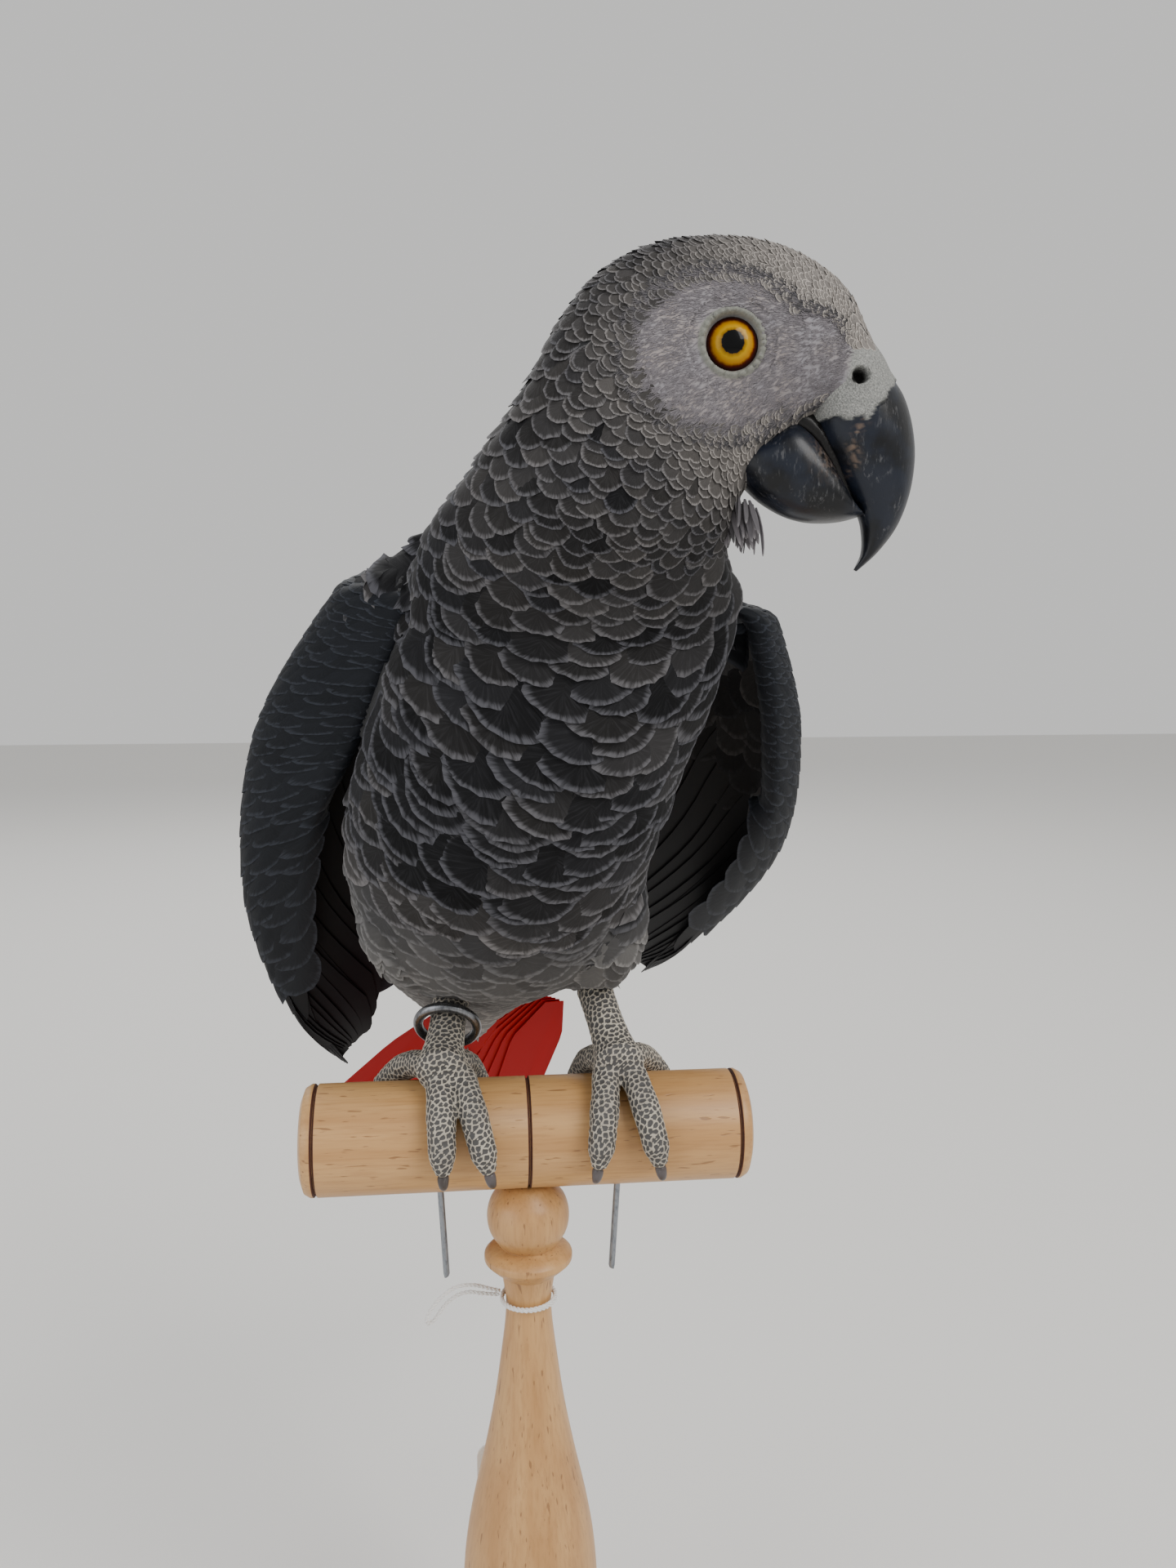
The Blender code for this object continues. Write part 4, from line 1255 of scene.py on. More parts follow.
def body_vane(columns, rows, fringe):
    """A rounded vane of unit size, whose barbs run out from the shaft to a ragged rim."""
    bm = flat_sheet(columns, rows)
    ragged = [1.0 - fringe * chance.random() ** 2 for _ in range(columns + 1)]
    for vert in bm.verts:
        column = round((vert.co.x + 0.5) * columns)
        out = vert.co.y + 0.5
        turn = math.radians(150.0) * vert.co.x * 2.0
        rim = Vector((0.5 * math.sin(turn), 0.5 + 0.5 * math.cos(turn)))
        shaft = Vector((0.0, 0.58 * rim.y**1.2))
        reach = out**0.85 * (ragged[column] if out > 0.99 else 1.0)
        place = shaft.lerp(rim, reach)
        vert.co = (place.x, place.y, 0.0)
    return solid_vane(bm)


def flight_vane(columns, rows, lead, tip):
    """A long vane: lead is the share of its width before the shaft, and tip that of its rounded end."""
    bm = flat_sheet(columns, rows)
    for vert in bm.verts:
        along = 1.0 - (0.5 - vert.co.y) ** 1.5
        across = vert.co.x * 2.0
        past = max(along - (1.0 - tip), 0.0) / tip
        swell = min(1.0, 0.35 + along * 2.2) * math.sqrt(max(1.0 - past**2.4, 0.0))
        share = lead if across < 0.0 else 1.0 - lead
        vert.co = (math.copysign(abs(across) ** 1.4 * share * swell, across), along, 0.0)
    return solid_vane(bm)


def solid_vane(bm):
    """The sheet as a closed solid: its points, faces, vane map and underside.

    Both sides lie at height 0 until the vane is laid. Pair says which upper point each lower one is
    under, by its place among the upper points.
    """
    bmesh.ops.remove_doubles(bm, verts=bm.verts, dist=0.0001)
    bm.faces.ensure_lookup_table()
    bm.normal_update()
    if bm.faces[0].normal.z < 0.0:
        bmesh.ops.reverse_faces(bm, faces=bm.faces)
    bmesh.ops.solidify(bm, geom=bm.faces[:], thickness=1.0)
    bmesh.ops.triangulate(bm, faces=bm.faces)
    low = min(vert.co.z for vert in bm.verts)
    layer = bm.loops.layers.uv["Vane"]
    points = np.array([vert.co for vert in bm.verts])
    under = points[:, 2] < low + 0.5
    points[:, 2] = 0.0
    faces = np.array([[vert.index for vert in face.verts] for face in bm.faces])
    flat = np.array([[loop[layer].uv[:] for loop in face.loops] for face in bm.faces])
    bm.free()
    upper = points[~under, :2]
    pair = np.array([((upper - point) ** 2).sum(axis=1).argmin() for point in points[under, :2]])
    return {"points": points, "faces": faces, "uv": flat, "under": under, "pair": pair}


class Ground:
    """A surface that vanes are laid on."""

    def __init__(self, bm):
        self.tree = BVHTree.FromBMesh(bm)

    def rest(self, points):
        """The nearest places on the surface and their outward directions."""
        places = np.empty_like(points)
        outward = np.empty_like(points)
        for i, point in enumerate(points):
            place, normal, _, _ = self.tree.find_nearest(Vector(point))
            places[i] = place
            outward[i] = normal
        return places, outward


class Coat:
    """Vanes gathered into one piece."""

    def __init__(self):
        self.points = []
        self.faces = []
        self.vane = []
        self.patch = []
        self.tone = []
        self.luck = []
        self.count = 0

    def add(self, vane, points, flat, tone, luck):
        """One laid vane: its points, its root's place on the flat map, its tone and its luck."""
        corners = vane["uv"].reshape(-1, 2)
        self.points.append(points)
        self.faces.append(vane["faces"] + self.count)
        self.vane.append(corners)
        self.patch.append(flat + (corners - 0.5) * PATCH)
        self.tone.append(np.full(len(points), tone))
        self.luck.append(np.full(len(points), luck))
        self.count += len(points)

    def make(self, name, material, slot, *stands_for):
        """The piece, with the flat map that its finish is baked on and the map that its vanes share."""
        points = np.concatenate(self.points)
        faces = np.concatenate(self.faces)
        mesh = bpy.data.meshes.new(name)
        mesh.from_pydata(points.tolist(), [], faces.tolist())
        for title, parts in (("OFBake", self.patch), ("Vane", self.vane)):
            layer = mesh.uv_layers.new(name=title)
            layer.data.foreach_set("uv", np.concatenate(parts).astype(np.float32).ravel())
        set_values(mesh, "tone", np.concatenate(self.tone))
        set_values(mesh, "luck", np.concatenate(self.luck))
        return add_piece(name, mesh, material, slot, *stands_for, sharp=50.0)


def lay(vane, ground, root, flow, normal, size, camber=0.0, tilt=0.0):
    """A vane's points on the ground, from its root along flow.

    Its size is its width, its length and the height its tip is lifted by, in metres. Camber lowers
    its edges, as a share of its width, and tilt rolls it.
    """
    width, length, lift = size
    across = np.cross(flow, normal)
    unit_points = vane["points"]
    x = unit_points[:, 0] * width
    y = unit_points[:, 1] * length
    spots = root + np.outer(x, across) + np.outer(y, flow)
    top = ~vane["under"]
    places, outward = ground.rest(spots[top])
    hold = step(outward @ normal, -0.1, 0.45)[:, None]
    places = spots[top] + (places - spots[top]) * hold
    outward = unit(outward * hold + normal * 0.35)
    x, y = unit_points[top, 0], unit_points[top, 1]
    rise = lift * (0.25 * y + 0.75 * y**1.6) - camber * width * (2.0 * x) ** 2 + tilt * x * width
    rise = np.maximum(rise, 0.02 * MM)
    thin = THIN * MM * (0.35 + 0.65 * (1.0 - y**3))
    result = np.empty_like(spots)
    result[top] = places + outward * rise[:, None]
    below = places + outward * (rise - thin)[:, None]
    result[vane["under"]] = below[vane["pair"]]
    return result


def coat_size(along, ahead, up, zone, halo):
    """Spacing of the vanes along and across the lie of the coat, in millimetres."""
    if zone in (RIGHT_THIGH, LEFT_THIGH):
        return 2.4, 5.6
    if zone in (RIGHT_WING, LEFT_WING):
        rows = np.interp(along, (0.30, 0.42, 0.55, 0.75, 1.0), (2.0, 2.8, 3.8, 4.8, 5.4))
        return rows, rows * 2.0
    if along < 0.34:
        places = (-38.0, -28.0, -18.0, -6.0, 8.0, 20.0)
        rows = np.interp(ahead, places, (1.6, 1.3, 1.1, 0.95, 0.85, 0.75))
        wide = np.interp(ahead, places, (6.0, 5.0, 4.1, 3.1, 2.3, 1.7))
        rise = np.interp(up, (-30.0, -16.0, 4.0, 16.0), (1.25, 1.1, 1.05, 0.85))
        small = (1.0 - 0.42 * halo) * rise
        return rows * small, wide * small
    places = (0.30, 0.38, 0.46, 0.55, 0.7, 0.85, 1.0)
    rows = np.interp(along, places, (1.6, 1.8, 2.0, 2.1, 2.0, 1.8, 1.7))
    wide = np.interp(along, places, (6.0, 8.6, 12.5, 15.5, 13.5, 8.5, 7.0))
    return rows, wide


def faces_of(skin):
    """The middle, outward direction and area in square millimetres of each face."""
    skin.faces.ensure_lookup_table()
    skin.normal_update()
    centres = np.array([face.calc_center_median() for face in skin.faces])
    normals = np.array([face.normal for face in skin.faces])
    areas = np.array([face.calc_area() for face in skin.faces]) / MM**2
    return centres, normals, areas


def feathered(centres, normals, face_zones):
    """Which faces grow body feathers: none on the bare face and cere or under the wing coverts."""
    ahead, _, up = head_place(centres)
    cere = cere_mask(ahead, up, (20.6, 21.8), (-17.5, -15.5), (0.0, 1.5))
    grows = (face_mask(centres) < 0.8) & (cere < 0.5)
    for zone in (RIGHT_WING, LEFT_WING):
        chosen = np.flatnonzero(face_zones == zone)
        _, outward, down, back = WINGS[zone].lie(centres[chosen])
        facing = (outward * normals[chosen]).sum(axis=1)
        inner = (facing < -0.8) & (down > 0.09) & (back > 0.1) & (back < 0.86)
        grows[chosen] &= inner | ((down < WING_TOP + 0.001) & (facing > -0.7))
    return grows


# How many roots are tried for each one wanted, and the millimetres from the bill to the vent.
ROOT_TRIES = 20.0
COAT_LENGTH = 220.0


class Spaced:
    """Roots that keep their distance: rows apart along the lie of the coat and wide apart across it."""

    def __init__(self):
        self.cell = 2.5 * MM
        self.taken = {}

    def key(self, point):
        return tuple(np.floor(point / self.cell).astype(int))

    def free(self, point, normal):
        for other, flow, across, rows, wide, outward in self.taken.get(self.key(point), ()):
            gap = point - other
            apart = (gap @ flow / rows) ** 2 + (gap @ across / wide) ** 2
            if apart < 1.0 and outward @ normal > 0.2:
                return False
        return True

    def add(self, point, flow, normal, rows, wide):
        entry = (point, flow, np.cross(flow, normal), rows, wide, normal)
        a, b, c = self.key(point)
        reach = math.ceil(max(rows, wide) / self.cell)
        steps = range(-reach, reach + 1)
        for key in ((a + i, b + j, c + k) for i in steps for j in steps for k in steps):
            self.taken.setdefault(key, []).append(entry)


def scatter(skin, face_zones):
    """Roots of the body feathers: spread over the skin in staggered rows, larger down the body."""
    centres, normals, areas = faces_of(skin)
    along = along_spine(centres)
    ahead, _, up = head_place(centres)
    halo = face_mask(centres, 0.9, 1.9)
    sizes = np.array([coat_size(*row) for row in zip(along, ahead, up, face_zones, halo)])
    flows = flow_at(centres, normals, face_zones)
    grows = feathered(centres, normals, face_zones)
    number = dice.poisson(areas / (sizes[:, 0] * sizes[:, 1]) * ROOT_TRIES * grows)
    picks = np.repeat(np.arange(len(centres)), number)
    order = np.where(face_zones == BODY, along * COAT_LENGTH, 0.0)
    for zone, (start, end) in LIMB_ENDS.items():
        limb = np.array((end - start).normalized()) / MM
        order = np.where(face_zones == zone, centres @ limb, order)
    picks = picks[np.argsort(order[picks] + dice.normal(0.0, 1.0, len(picks)), kind="stable")]
    spaced = Spaced()
    kept = []
    points = []
    for pick in picks:
        face = skin.faces[pick]
        weights = dice.dirichlet([1.0] * len(face.verts))
        point = np.zeros(3)
        for weight, vert in zip(weights, face.verts):
            point += weight * np.array(vert.co)
        if spaced.free(point, normals[pick]):
            rows, wide = sizes[pick] * MM * chance.uniform(0.9, 1.1)
            spaced.add(point, flows[pick], normals[pick], rows, wide)
            kept.append(pick)
            points.append(point)
    return np.array(points), normals[kept], flows[kept], sizes[kept], face_zones[kept]


def tone_of(points, zones):
    """How pale the plumage is: warm and light on the face and crown, soft grey on belly and vent."""
    along = along_spine(points)
    ahead, _, up = head_place(points)
    crown = step(ahead, -14.0, 20.0) * (along < 0.4) * step(up, -32.0, -18.0)
    throat = 0.35 * step(up, -30.0, -12.0) * step(ahead, -12.0, 8.0) * (along < 0.4)
    belly = step(along, 0.62, 0.84) * 0.5 + step(along, 0.84, 0.97) * 0.5
    face = 0.28 * face_mask(points, 0.9, 1.9) * (along < 0.4)
    hackles = 0.11 * (1.0 - step(along, 0.24, 0.5))
    tone = np.maximum(np.maximum(crown, throat) + face * (1.0 - crown), np.maximum(belly, hackles))
    tone = np.where((zones == RIGHT_THIGH) | (zones == LEFT_THIGH), 0.45, tone)
    return np.where(zones >= RIGHT_WING, 0.0, tone)


def group_of(zone, along, on_shoulder):
    """The piece that a feather belongs to, by the place of its root."""
    if on_shoulder:
        return "shoulder_coverts"
    if zone >= RIGHT_WING:
        return "underwing_right" if zone == RIGHT_WING else "underwing_left"
    if zone in (RIGHT_THIGH, LEFT_THIGH):
        return "thigh_down"
    ends = ((0.22, "head_feathers"), (0.46, "neck_feathers"), (0.7, "breast_feathers"))
    return next((name for end, name in ends if along < end), "belly_down")


def make_coat(skin, face_zones, material, finishes):
    """All the contour feathers of head, neck, body, thighs and wing arms."""
    ground = Ground(skin)
    points, normals, flows, sizes, zones = scatter(skin, face_zones)
    along = along_spine(points)
    flat = unwrap(points, zones)
    tones = tone_of(points, zones)
    downs = np.ones(len(points))
    for zone, wing in WINGS.items():
        downs[zones == zone] = wing.lie(points[zones == zone])[2]
    large = [body_vane(26, 3, 0.12) for _ in range(6)]
    medium = [body_vane(14, 3, 0.14) for _ in range(5)]
    small = [body_vane(8, 2, 0.12) for _ in range(4)]
    coats = {}
    for i, zone in enumerate(zones):
        rows, wide = sizes[i]
        on_wing = zone >= RIGHT_WING
        on_shoulder = downs[i] < WING_TOP + 0.001
        vanes = large if wide > 8.8 else medium if wide > 2.9 else small
        turn = chance.gauss(0.0, 0.10)
        normal = normals[i]
        across = np.cross(flows[i], normal)
        flow = flows[i] * math.cos(turn) + across * math.sin(turn)
        size = chance.uniform(0.9, 1.12)
        width = wide * 1.45 * size * MM
        length = (rows * 3.8 + wide * 0.28) * size * MM
        depth = SPINE_DEPTHS[int(along[i] * (SPINE_STEPS - 1))]
        lift = min(depth * 0.9, 0.15 * length / MM) * chance.uniform(0.8, 1.2) * MM
        lift *= 0.5 if on_wing else 1.0
        vane = chance.choice(vanes)
        # A feather that would hang clear of the skin or turn over an edge is left out.
        end = points[i] + flow * length * 0.9
        place, outward = ground.rest(end[None, :])
        slack, lean = (0.5, -0.3) if on_shoulder else (0.2, 0.5) if on_wing else (0.34, 0.1)
        if np.linalg.norm(place[0] - end) > slack * length or outward[0] @ normal < lean:
            continue
        tilt = chance.gauss(0.0, 0.02)
        laid = lay(vane, ground, points[i], flow, normal, (width, length, lift), 0.05, tilt)
        luck = chance.random()
        wing = WINGS[zone if on_wing else side_of(points[i : i + 1])[0]]
        if not on_shoulder and wing.pierced(laid[::2], on_wing):
            continue
        coat = coats.setdefault(group_of(zone, along[i], on_shoulder), Coat())
        tone = min(max(tones[i] + chance.gauss(0.0, 0.05), 0.0), 1.0)
        coat.add(vane, laid, flat[i], tone, luck)
    for name, coat in coats.items():
        finish = next((finishes[key] for key in finishes if key in name), material)
        coat.make(name, finish, "plumage")


def make_stubble(skin, face_zones, material):
    """Short hair-like feathers over the bare face, thickest towards its edge, and round the gape."""
    ground = Ground(skin)
    centres, normals, areas = faces_of(skin)
    ahead, side, up = head_place(centres)
    bare = face_mask(centres)
    reach = np.hypot(ahead - EYE_AHEAD, up - EYE_UP)
    edge = 1.0 - np.abs(bare * 2.0 - 1.0)
    cere = step(ahead - 0.15 * up, 20.9, 21.6)
    brim = np.exp(-(((ahead - 0.15 * up - 21.0) / 0.7) ** 2))
    density = (step(bare, 0.02, 0.3) * (1.3 + 2.2 * edge)) * step(reach, 5.8, 6.6) * (1.0 - cere)
    density = density + 1.6 * brim * (up > -12.0)
    number = dice.poisson(areas * density * 6.5)
    picks = np.repeat(np.arange(len(centres)), number)
    blade = flight_vane(1, 2, 0.5, 1.0)
    points = centres[picks] + dice.normal(0.0, 0.15 * MM, (len(picks), 3))
    zones = face_zones[picks]
    flat = unwrap(points, zones)
    coats = {-1: Coat(), 1: Coat()}
    for i, pick in enumerate(picks):
        normal = normals[pick]
        lean = -1.0 - 0.02 * (ahead[pick] - EYE_AHEAD)
        sink = 0.25 - 0.03 * (up[pick] - EYE_UP)
        away = np.array(AHEAD) * lean - np.array(UP) * sink
        away = away - normal * (away @ normal)
        away /= np.linalg.norm(away)
        turn = chance.gauss(0.0, 0.28)
        flow = away * math.cos(turn) + np.cross(away, normal) * math.sin(turn)
        length = (1.1 + 1.3 * edge[pick]) * chance.uniform(0.8, 1.3) * MM
        width = chance.uniform(0.12, 0.22) * MM
        lift = length * chance.uniform(0.08, 0.2)
        laid = lay(blade, ground, points[i], flow, normal, (width, length, lift))
        tone = min(max(float(bare[pick]) * 1.3 + chance.gauss(-0.25, 0.2), 0.0), 1.0)
        coats[-1 if side[pick] < 0.0 else 1].add(blade, laid, flat[i], tone, chance.random())
    for side, coat in coats.items():
        name = "face_stubble_right" if side < 0 else "face_stubble_left"
        coat.make(name, material, "plumage")


# Wings and tail --------------------------------------------------------------------------------

WING_RAILS = {
    "right": {
        "leading": [(-27, -20, 129), (-40, 0, 99), (-58, 37, 59), (-65, 93, 1), (-53.5, 122, -28)],
        "crest": [(-38, 0, 137), (-66, 33, 96), (-74, 62, 45), (-67, 98, -1), (-56, 124.5, -26.5)],
        "back": [(-16, 6, 138), (-26, 36, 98), (-36, 70, 47), (-48, 107, -3), (-53, 127, -25)],
    },
    "left": {
        "leading": [(53, -15, 125), (62, 4, 97), (68, 44, 60), (59, 118, 13), (50.5, 152, -7)],
        "crest": [(54, 3, 130), (68, 32, 95), (72, 69, 54), (61, 123, 12), (53, 154.5, -5.5)],
        "back": [(22, 8, 137), (24, 47, 101), (34, 90, 56), (46, 136, 12), (50, 157, -4)],
    },
}

RAIL_STEPS = 96
# Where the outer face starts, as a share of the way down, and the radii that its edges roll over.
WING_TOP = 0.05
TOP_ROLL, FRONT_ROLL, BACK_ROLL = 6.5, 2.4, 2.8


def rolled(point, along, normal, radius, turn):
    """Points carried on along a direction and round a roll of some radius behind the face."""
    ahead = along * (radius * np.sin(turn))[:, None]
    return point + ahead - normal * (radius * (1.0 - np.cos(turn)))[:, None]


class Wing:
    """The outer face of one wing. A place on it is its shares down from the wrist and backwards."""

    def __init__(self, side):
        rails = [[at(*point) for point in rail] for rail in WING_RAILS[side].values()]
        self.leading, crest, self.back = (np.array(spline(rail, RAIL_STEPS + 1)) for rail in rails)
        self.bend = crest * 2 - (self.leading + self.back) / 2
        self.length = np.linalg.norm(np.diff(crest, axis=0), axis=1).sum()
        self.outer = -1.0 if side == "right" else 1.0
        downs, backs = np.meshgrid(np.linspace(WING_TOP, 1.0, 90), np.linspace(0.0, 1.0, 25))
        self.downs, self.backs = downs.ravel(), backs.ravel()
        self.samples = self.core(self.downs, self.backs)

    def place(self, down, back):
        """Points over the face, which rolls over at its front, behind, and most of all at its top."""
        inside_down, inside_back = np.clip(down, WING_TOP, 1.0), np.clip(back, 0.0, 1.0)
        point, aft, along, normal = self.frame(inside_down, inside_back)
        flatter = 60.0 * step(inside_down, 0.40, 0.62)
        beyond = (back - inside_back) * self.chord(inside_down)
        radius = (np.where(beyond < 0.0, FRONT_ROLL, BACK_ROLL) + flatter) * MM
        point = rolled(point, aft, normal, radius, np.clip(beyond / radius, -2.4, 2.4))
        radius = TOP_ROLL * MM
        above = (inside_down - down) * self.length / radius
        point = rolled(point, -along, normal, radius, np.clip(above, 0.0, 2.0))
        tail = (self.leading[-1] - self.leading[-1 - RAIL_STEPS // 8]) * 8.0
        return point + tail * np.maximum(down - 1.0, 0.0)[:, None]

    def core(self, down, back):
        """Points of the face without its rolled edges: an arch across it at each place down."""
        where = np.clip(down, 0.0, 1.0) * RAIL_STEPS
        low = np.minimum(where.astype(int), RAIL_STEPS - 1)
        part = (where - low)[:, None]
        rails = (self.leading, self.bend, self.back)
        leading, bend, behind = (rail[low] * (1 - part) + rail[low + 1] * part for rail in rails)
        inside = np.clip(back, 0.0, 1.0)[:, None]
        return leading * (1 - inside) ** 2 + bend * 2 * inside * (1 - inside) + behind * inside**2

    def chord(self, down):
        front, behind = np.zeros(len(down)), np.ones(len(down))
        return np.linalg.norm(self.core(down, behind) - self.core(down, front), axis=1)

    def frame(self, down, back):
        """The face's point at each place, and the directions backwards, downwards and outwards."""
        aft = unit(self.core(down, back + 0.02) - self.core(down, back - 0.02))
        along = unit(self.core(down + 0.02, back) - self.core(down - 0.02, back))
        normal = unit(np.cross(aft, along)) * -self.outer
        return self.core(down, back), aft, along, normal

    def nearest(self, points):
        """The place on the face, down and back, that is nearest to each point."""
        near = [((self.samples - point) ** 2).sum(axis=1).argmin() for point in points]
        return self.downs[near], self.backs[near]

    def pierced(self, points, beneath):
        """Whether a vane stands through the face or, where it grows beneath, beyond its edges."""
        middle = points.mean(axis=0)
        if np.linalg.norm(self.samples - middle, axis=1).min() > 14.0 * MM:
            return False
        down, back = self.nearest(points)
        places, aft, _, normal = self.frame(down, back)
        gap = points - places
        near = np.linalg.norm(gap, axis=1) < 5.0 * MM
        through = near & ((gap * normal).sum(axis=1) > -0.5 * MM)
        past = np.abs((gap * aft).sum(axis=1)) > 2.6 * MM
        return bool((through & (down > 0.1)).any() or (beneath and past.any()))

    def tucked(self, points, on_wing):
        """The skin's points, drawn in where they stand out beyond the face's rolled edges."""
        down, back = self.nearest(points)
        places, aft, along, normal = self.frame(down, back)
        gap = points - places
        stands = np.maximum((gap * normal).sum(axis=1) + 0.7 * MM, 0.0)
        stands *= np.where(on_wing, 1.0, 1.0 - step(np.linalg.norm(gap, axis=1) / MM, 5.0, 12.0))
        points = points - normal * stands[:, None]
        top = down < WING_TOP + 0.001
        upper = (down < 0.6) & on_wing
        edges = (
            (top, -along, TOP_ROLL * MM, 0.8),
            (upper & (back < 0.001), -aft, FRONT_ROLL * MM, 0.3),
            (upper & (back > 0.999), aft, BACK_ROLL * MM, 0.3),
        )
        for chosen, direction, radius, lean in edges:
            gap = points - places
            height = (gap * direction).sum(axis=1)
            depth = (gap * normal).sum(axis=1) + radius
            limit = radius - 0.6 * MM
            reach = np.maximum(np.hypot(np.maximum(depth, 0.0), height), 1e-9)
            sloping = (limit - lean * depth) / np.maximum(height, 1e-9)
            allowed = np.where(depth > 0.0, limit / reach, sloping)
            share = np.where(chosen & (height > 0.0), np.minimum(allowed, 1.0), 1.0)
            distance = np.linalg.norm(gap, axis=1) / MM
            share = 1.0 - (1.0 - share) * np.where(on_wing, 1.0, 1.0 - step(distance, 7.0, 15.0))
            deeper = np.where(depth > 0.0, depth * share, depth) - depth
            moved = direction * (height * (share - 1.0))[:, None]
            points = points + moved + normal * deeper[:, None]
        return points

    def outward(self, down, back):
        """The face's outward directions, on its rolled edges too."""
        lower = self.place(np.minimum(down + 0.01, 1.0), back)
        lengthwise = lower - self.place(np.minimum(down, 0.99), back)
        across = self.place(down, back + 0.02) - self.place(down, back - 0.02)
        return unit(np.cross(across, lengthwise)) * -self.outer

    def lie(self, points):
        """Near each point: where feathers point, the outward direction, and the place on the face."""
        down, back = self.nearest(points)
        _, aft, along, normal = self.frame(down, back)
        return unit(along + aft * (0.32 * back)[:, None]), normal, down, back

    def width(self, down):
        """The breadth of the face, rolled edges and all, at some places down."""
        front, behind = np.full(len(down), 0.05), np.full(len(down), 0.95)
        return np.linalg.norm(self.place(down, behind) - self.place(down, front), axis=1) / 0.9

    def feather(self, coat, vane, start, end, width, levels, flat):
        """Lays a vane from one place to another, its root and its tip at two levels over the face."""
        share = vane["points"][:, 1]
        down = start[0] + (end[0] - start[0]) * share
        back = start[1] + (end[1] - start[1]) * share**1.3
        breadth = self.width(np.array([(start[0] + end[0]) / 2]))[0]
        slant = math.atan2((end[1] - start[1]) * breadth, (end[0] - start[0]) * self.length)
        x = vane["points"][:, 0] * width * MM
        back = back + x * math.cos(slant) / np.maximum(self.width(down), 12.0 * MM)
        down = down - x * math.sin(slant) / self.length
        normal = self.outward(down, back)
        level = levels[0] + (levels[1] - levels[0]) * share**0.8
        curl = -0.05 * width * (2.0 * np.abs(vane["points"][:, 0])) ** 2
        shaft = 0.25 * np.exp(-((x / (0.5 * MM)) ** 2)) * (1.0 - share)
        points = self.place(down, back) + normal * ((level + curl + shaft) * MM)[:, None]
        under = vane["under"]
        lower = points[~under] - normal[~under] * FLIGHT_THIN * MM
        points[under] = lower[vane["pair"]]
        coat.add(vane, points, flat, 0.0, chance.random())


WING_ZONES = {"right": RIGHT_WING, "left": LEFT_WING}
WINGS = {zone: Wing(side) for side, zone in WING_ZONES.items()}


# The primaries, the secondaries and the greater coverts. Starts and ends are places on the wing's
# face, and roots and tips are heights over it, each for a row's first feather and then its last.
FLIGHT_ROWS = (
    {
        "count": 8,
        "width": 14.5,
        "starts": ((0.42, 0.02), (0.38, 0.42)),
        "ends": ((0.995, 0.15), (0.86, 0.72)),
        "roots": (-2.2, -1.2),
        "tips": (-0.9, 0.1),
        "vane": (6, 18, 0.30, 0.48),
    },
    {
        "count": 9,
        "width": 17.0,
        "starts": ((0.36, 0.36), (0.02, 0.62)),
        "ends": ((0.83, 0.78), (0.52, 1.0)),
        "roots": (-2.2, -1.8),
        "tips": (-0.5, 0.0),
        "vane": (6, 16, 0.42, 0.20),
    },
    {
        "count": 9,
        "width": 12.0,
        "starts": ((0.46, 0.06), (0.16, 0.60)),
        "ends": ((0.78, 0.14), (0.42, 1.0)),
        "roots": (-1.6, -1.2),
        "tips": (-0.3, 0.0),
        "vane": (6, 10, 0.48, 0.34),
    },
)


def mixed(pair, share):
    """The number at some share of the way from the first of a pair to the second."""
    return pair[0] + (pair[1] - pair[0]) * share


def make_flight_feathers(side, material):
    """Primaries, secondaries and greater coverts of one wing, each row from the leading edge back."""
    wing = WINGS[WING_ZONES[side]]
    u, v, wide, tall = ZONE_UV[WING_ZONES[side]]
    coat = Coat()
    for tier, row in enumerate(FLIGHT_ROWS):
        vane = flight_vane(*row["vane"])
        for k in range(row["count"]):
            share = k / (row["count"] - 1)
            start = [mixed(pair, share) for pair in zip(*row["starts"])]
            end = [mixed(pair, share) + chance.gauss(0.0, 0.006) for pair in zip(*row["ends"])]
            levels = (mixed(row["roots"], share), mixed(row["tips"], share))
            flat = np.array((u + wide * (0.08 + 0.84 * share), v + tall * (0.9 - 0.12 * tier)))
            size = row["width"] * chance.uniform(0.94, 1.06)
            wing.feather(coat, vane, start, end, size, levels, flat)
    coat.make(f"flight_feathers_{side}", material, "flight", f"wing_{side}_hand")


def make_wing_coverts(side, material):
    """Staggered rows of small feathers over the outer face and its edges, larger further down."""
    wing = WINGS[WING_ZONES[side]]
    u, v, wide, tall = ZONE_UV[WING_ZONES[side]]
    vanes = [body_vane(14, 3, 0.10) for _ in range(5)]
    coat = Coat()
    down = WING_TOP - 0.045
    row = 0
    while down < 0.63:
        rows = float(np.interp(down, (0.0, 0.12, 0.3, 0.5, 0.63), (1.9, 2.4, 3.4, 4.6, 5.6)))
        across = rows * 2.0 / (wing.width(np.array([max(down, 0.0)]))[0] / MM)
        back = -0.09 + across * 0.5 * (row % 2)
        while back < 1.06:
            ahead = rows * chance.uniform(0.85, 1.15) / (wing.length / MM)
            start = (down + chance.gauss(0.0, 0.002), back + chance.gauss(0.0, 0.05) * across)
            end = (start[0] + ahead * 3.1, start[1] + 0.35 * across)
            flat = np.array((u + wide * min(max(back, 0.0), 1.0), v + tall * max(down, 0.0)))
            size = rows * 2.9 * chance.uniform(0.92, 1.1)
            levels = (0.1, 0.45 + 0.14 * rows)
            wing.feather(coat, chance.choice(vanes), start, end, size, levels, flat)
            back += across
        down += rows / (wing.length / MM)
        row += 1
    coat.make(f"wing_coverts_{side}", material, "plumage")


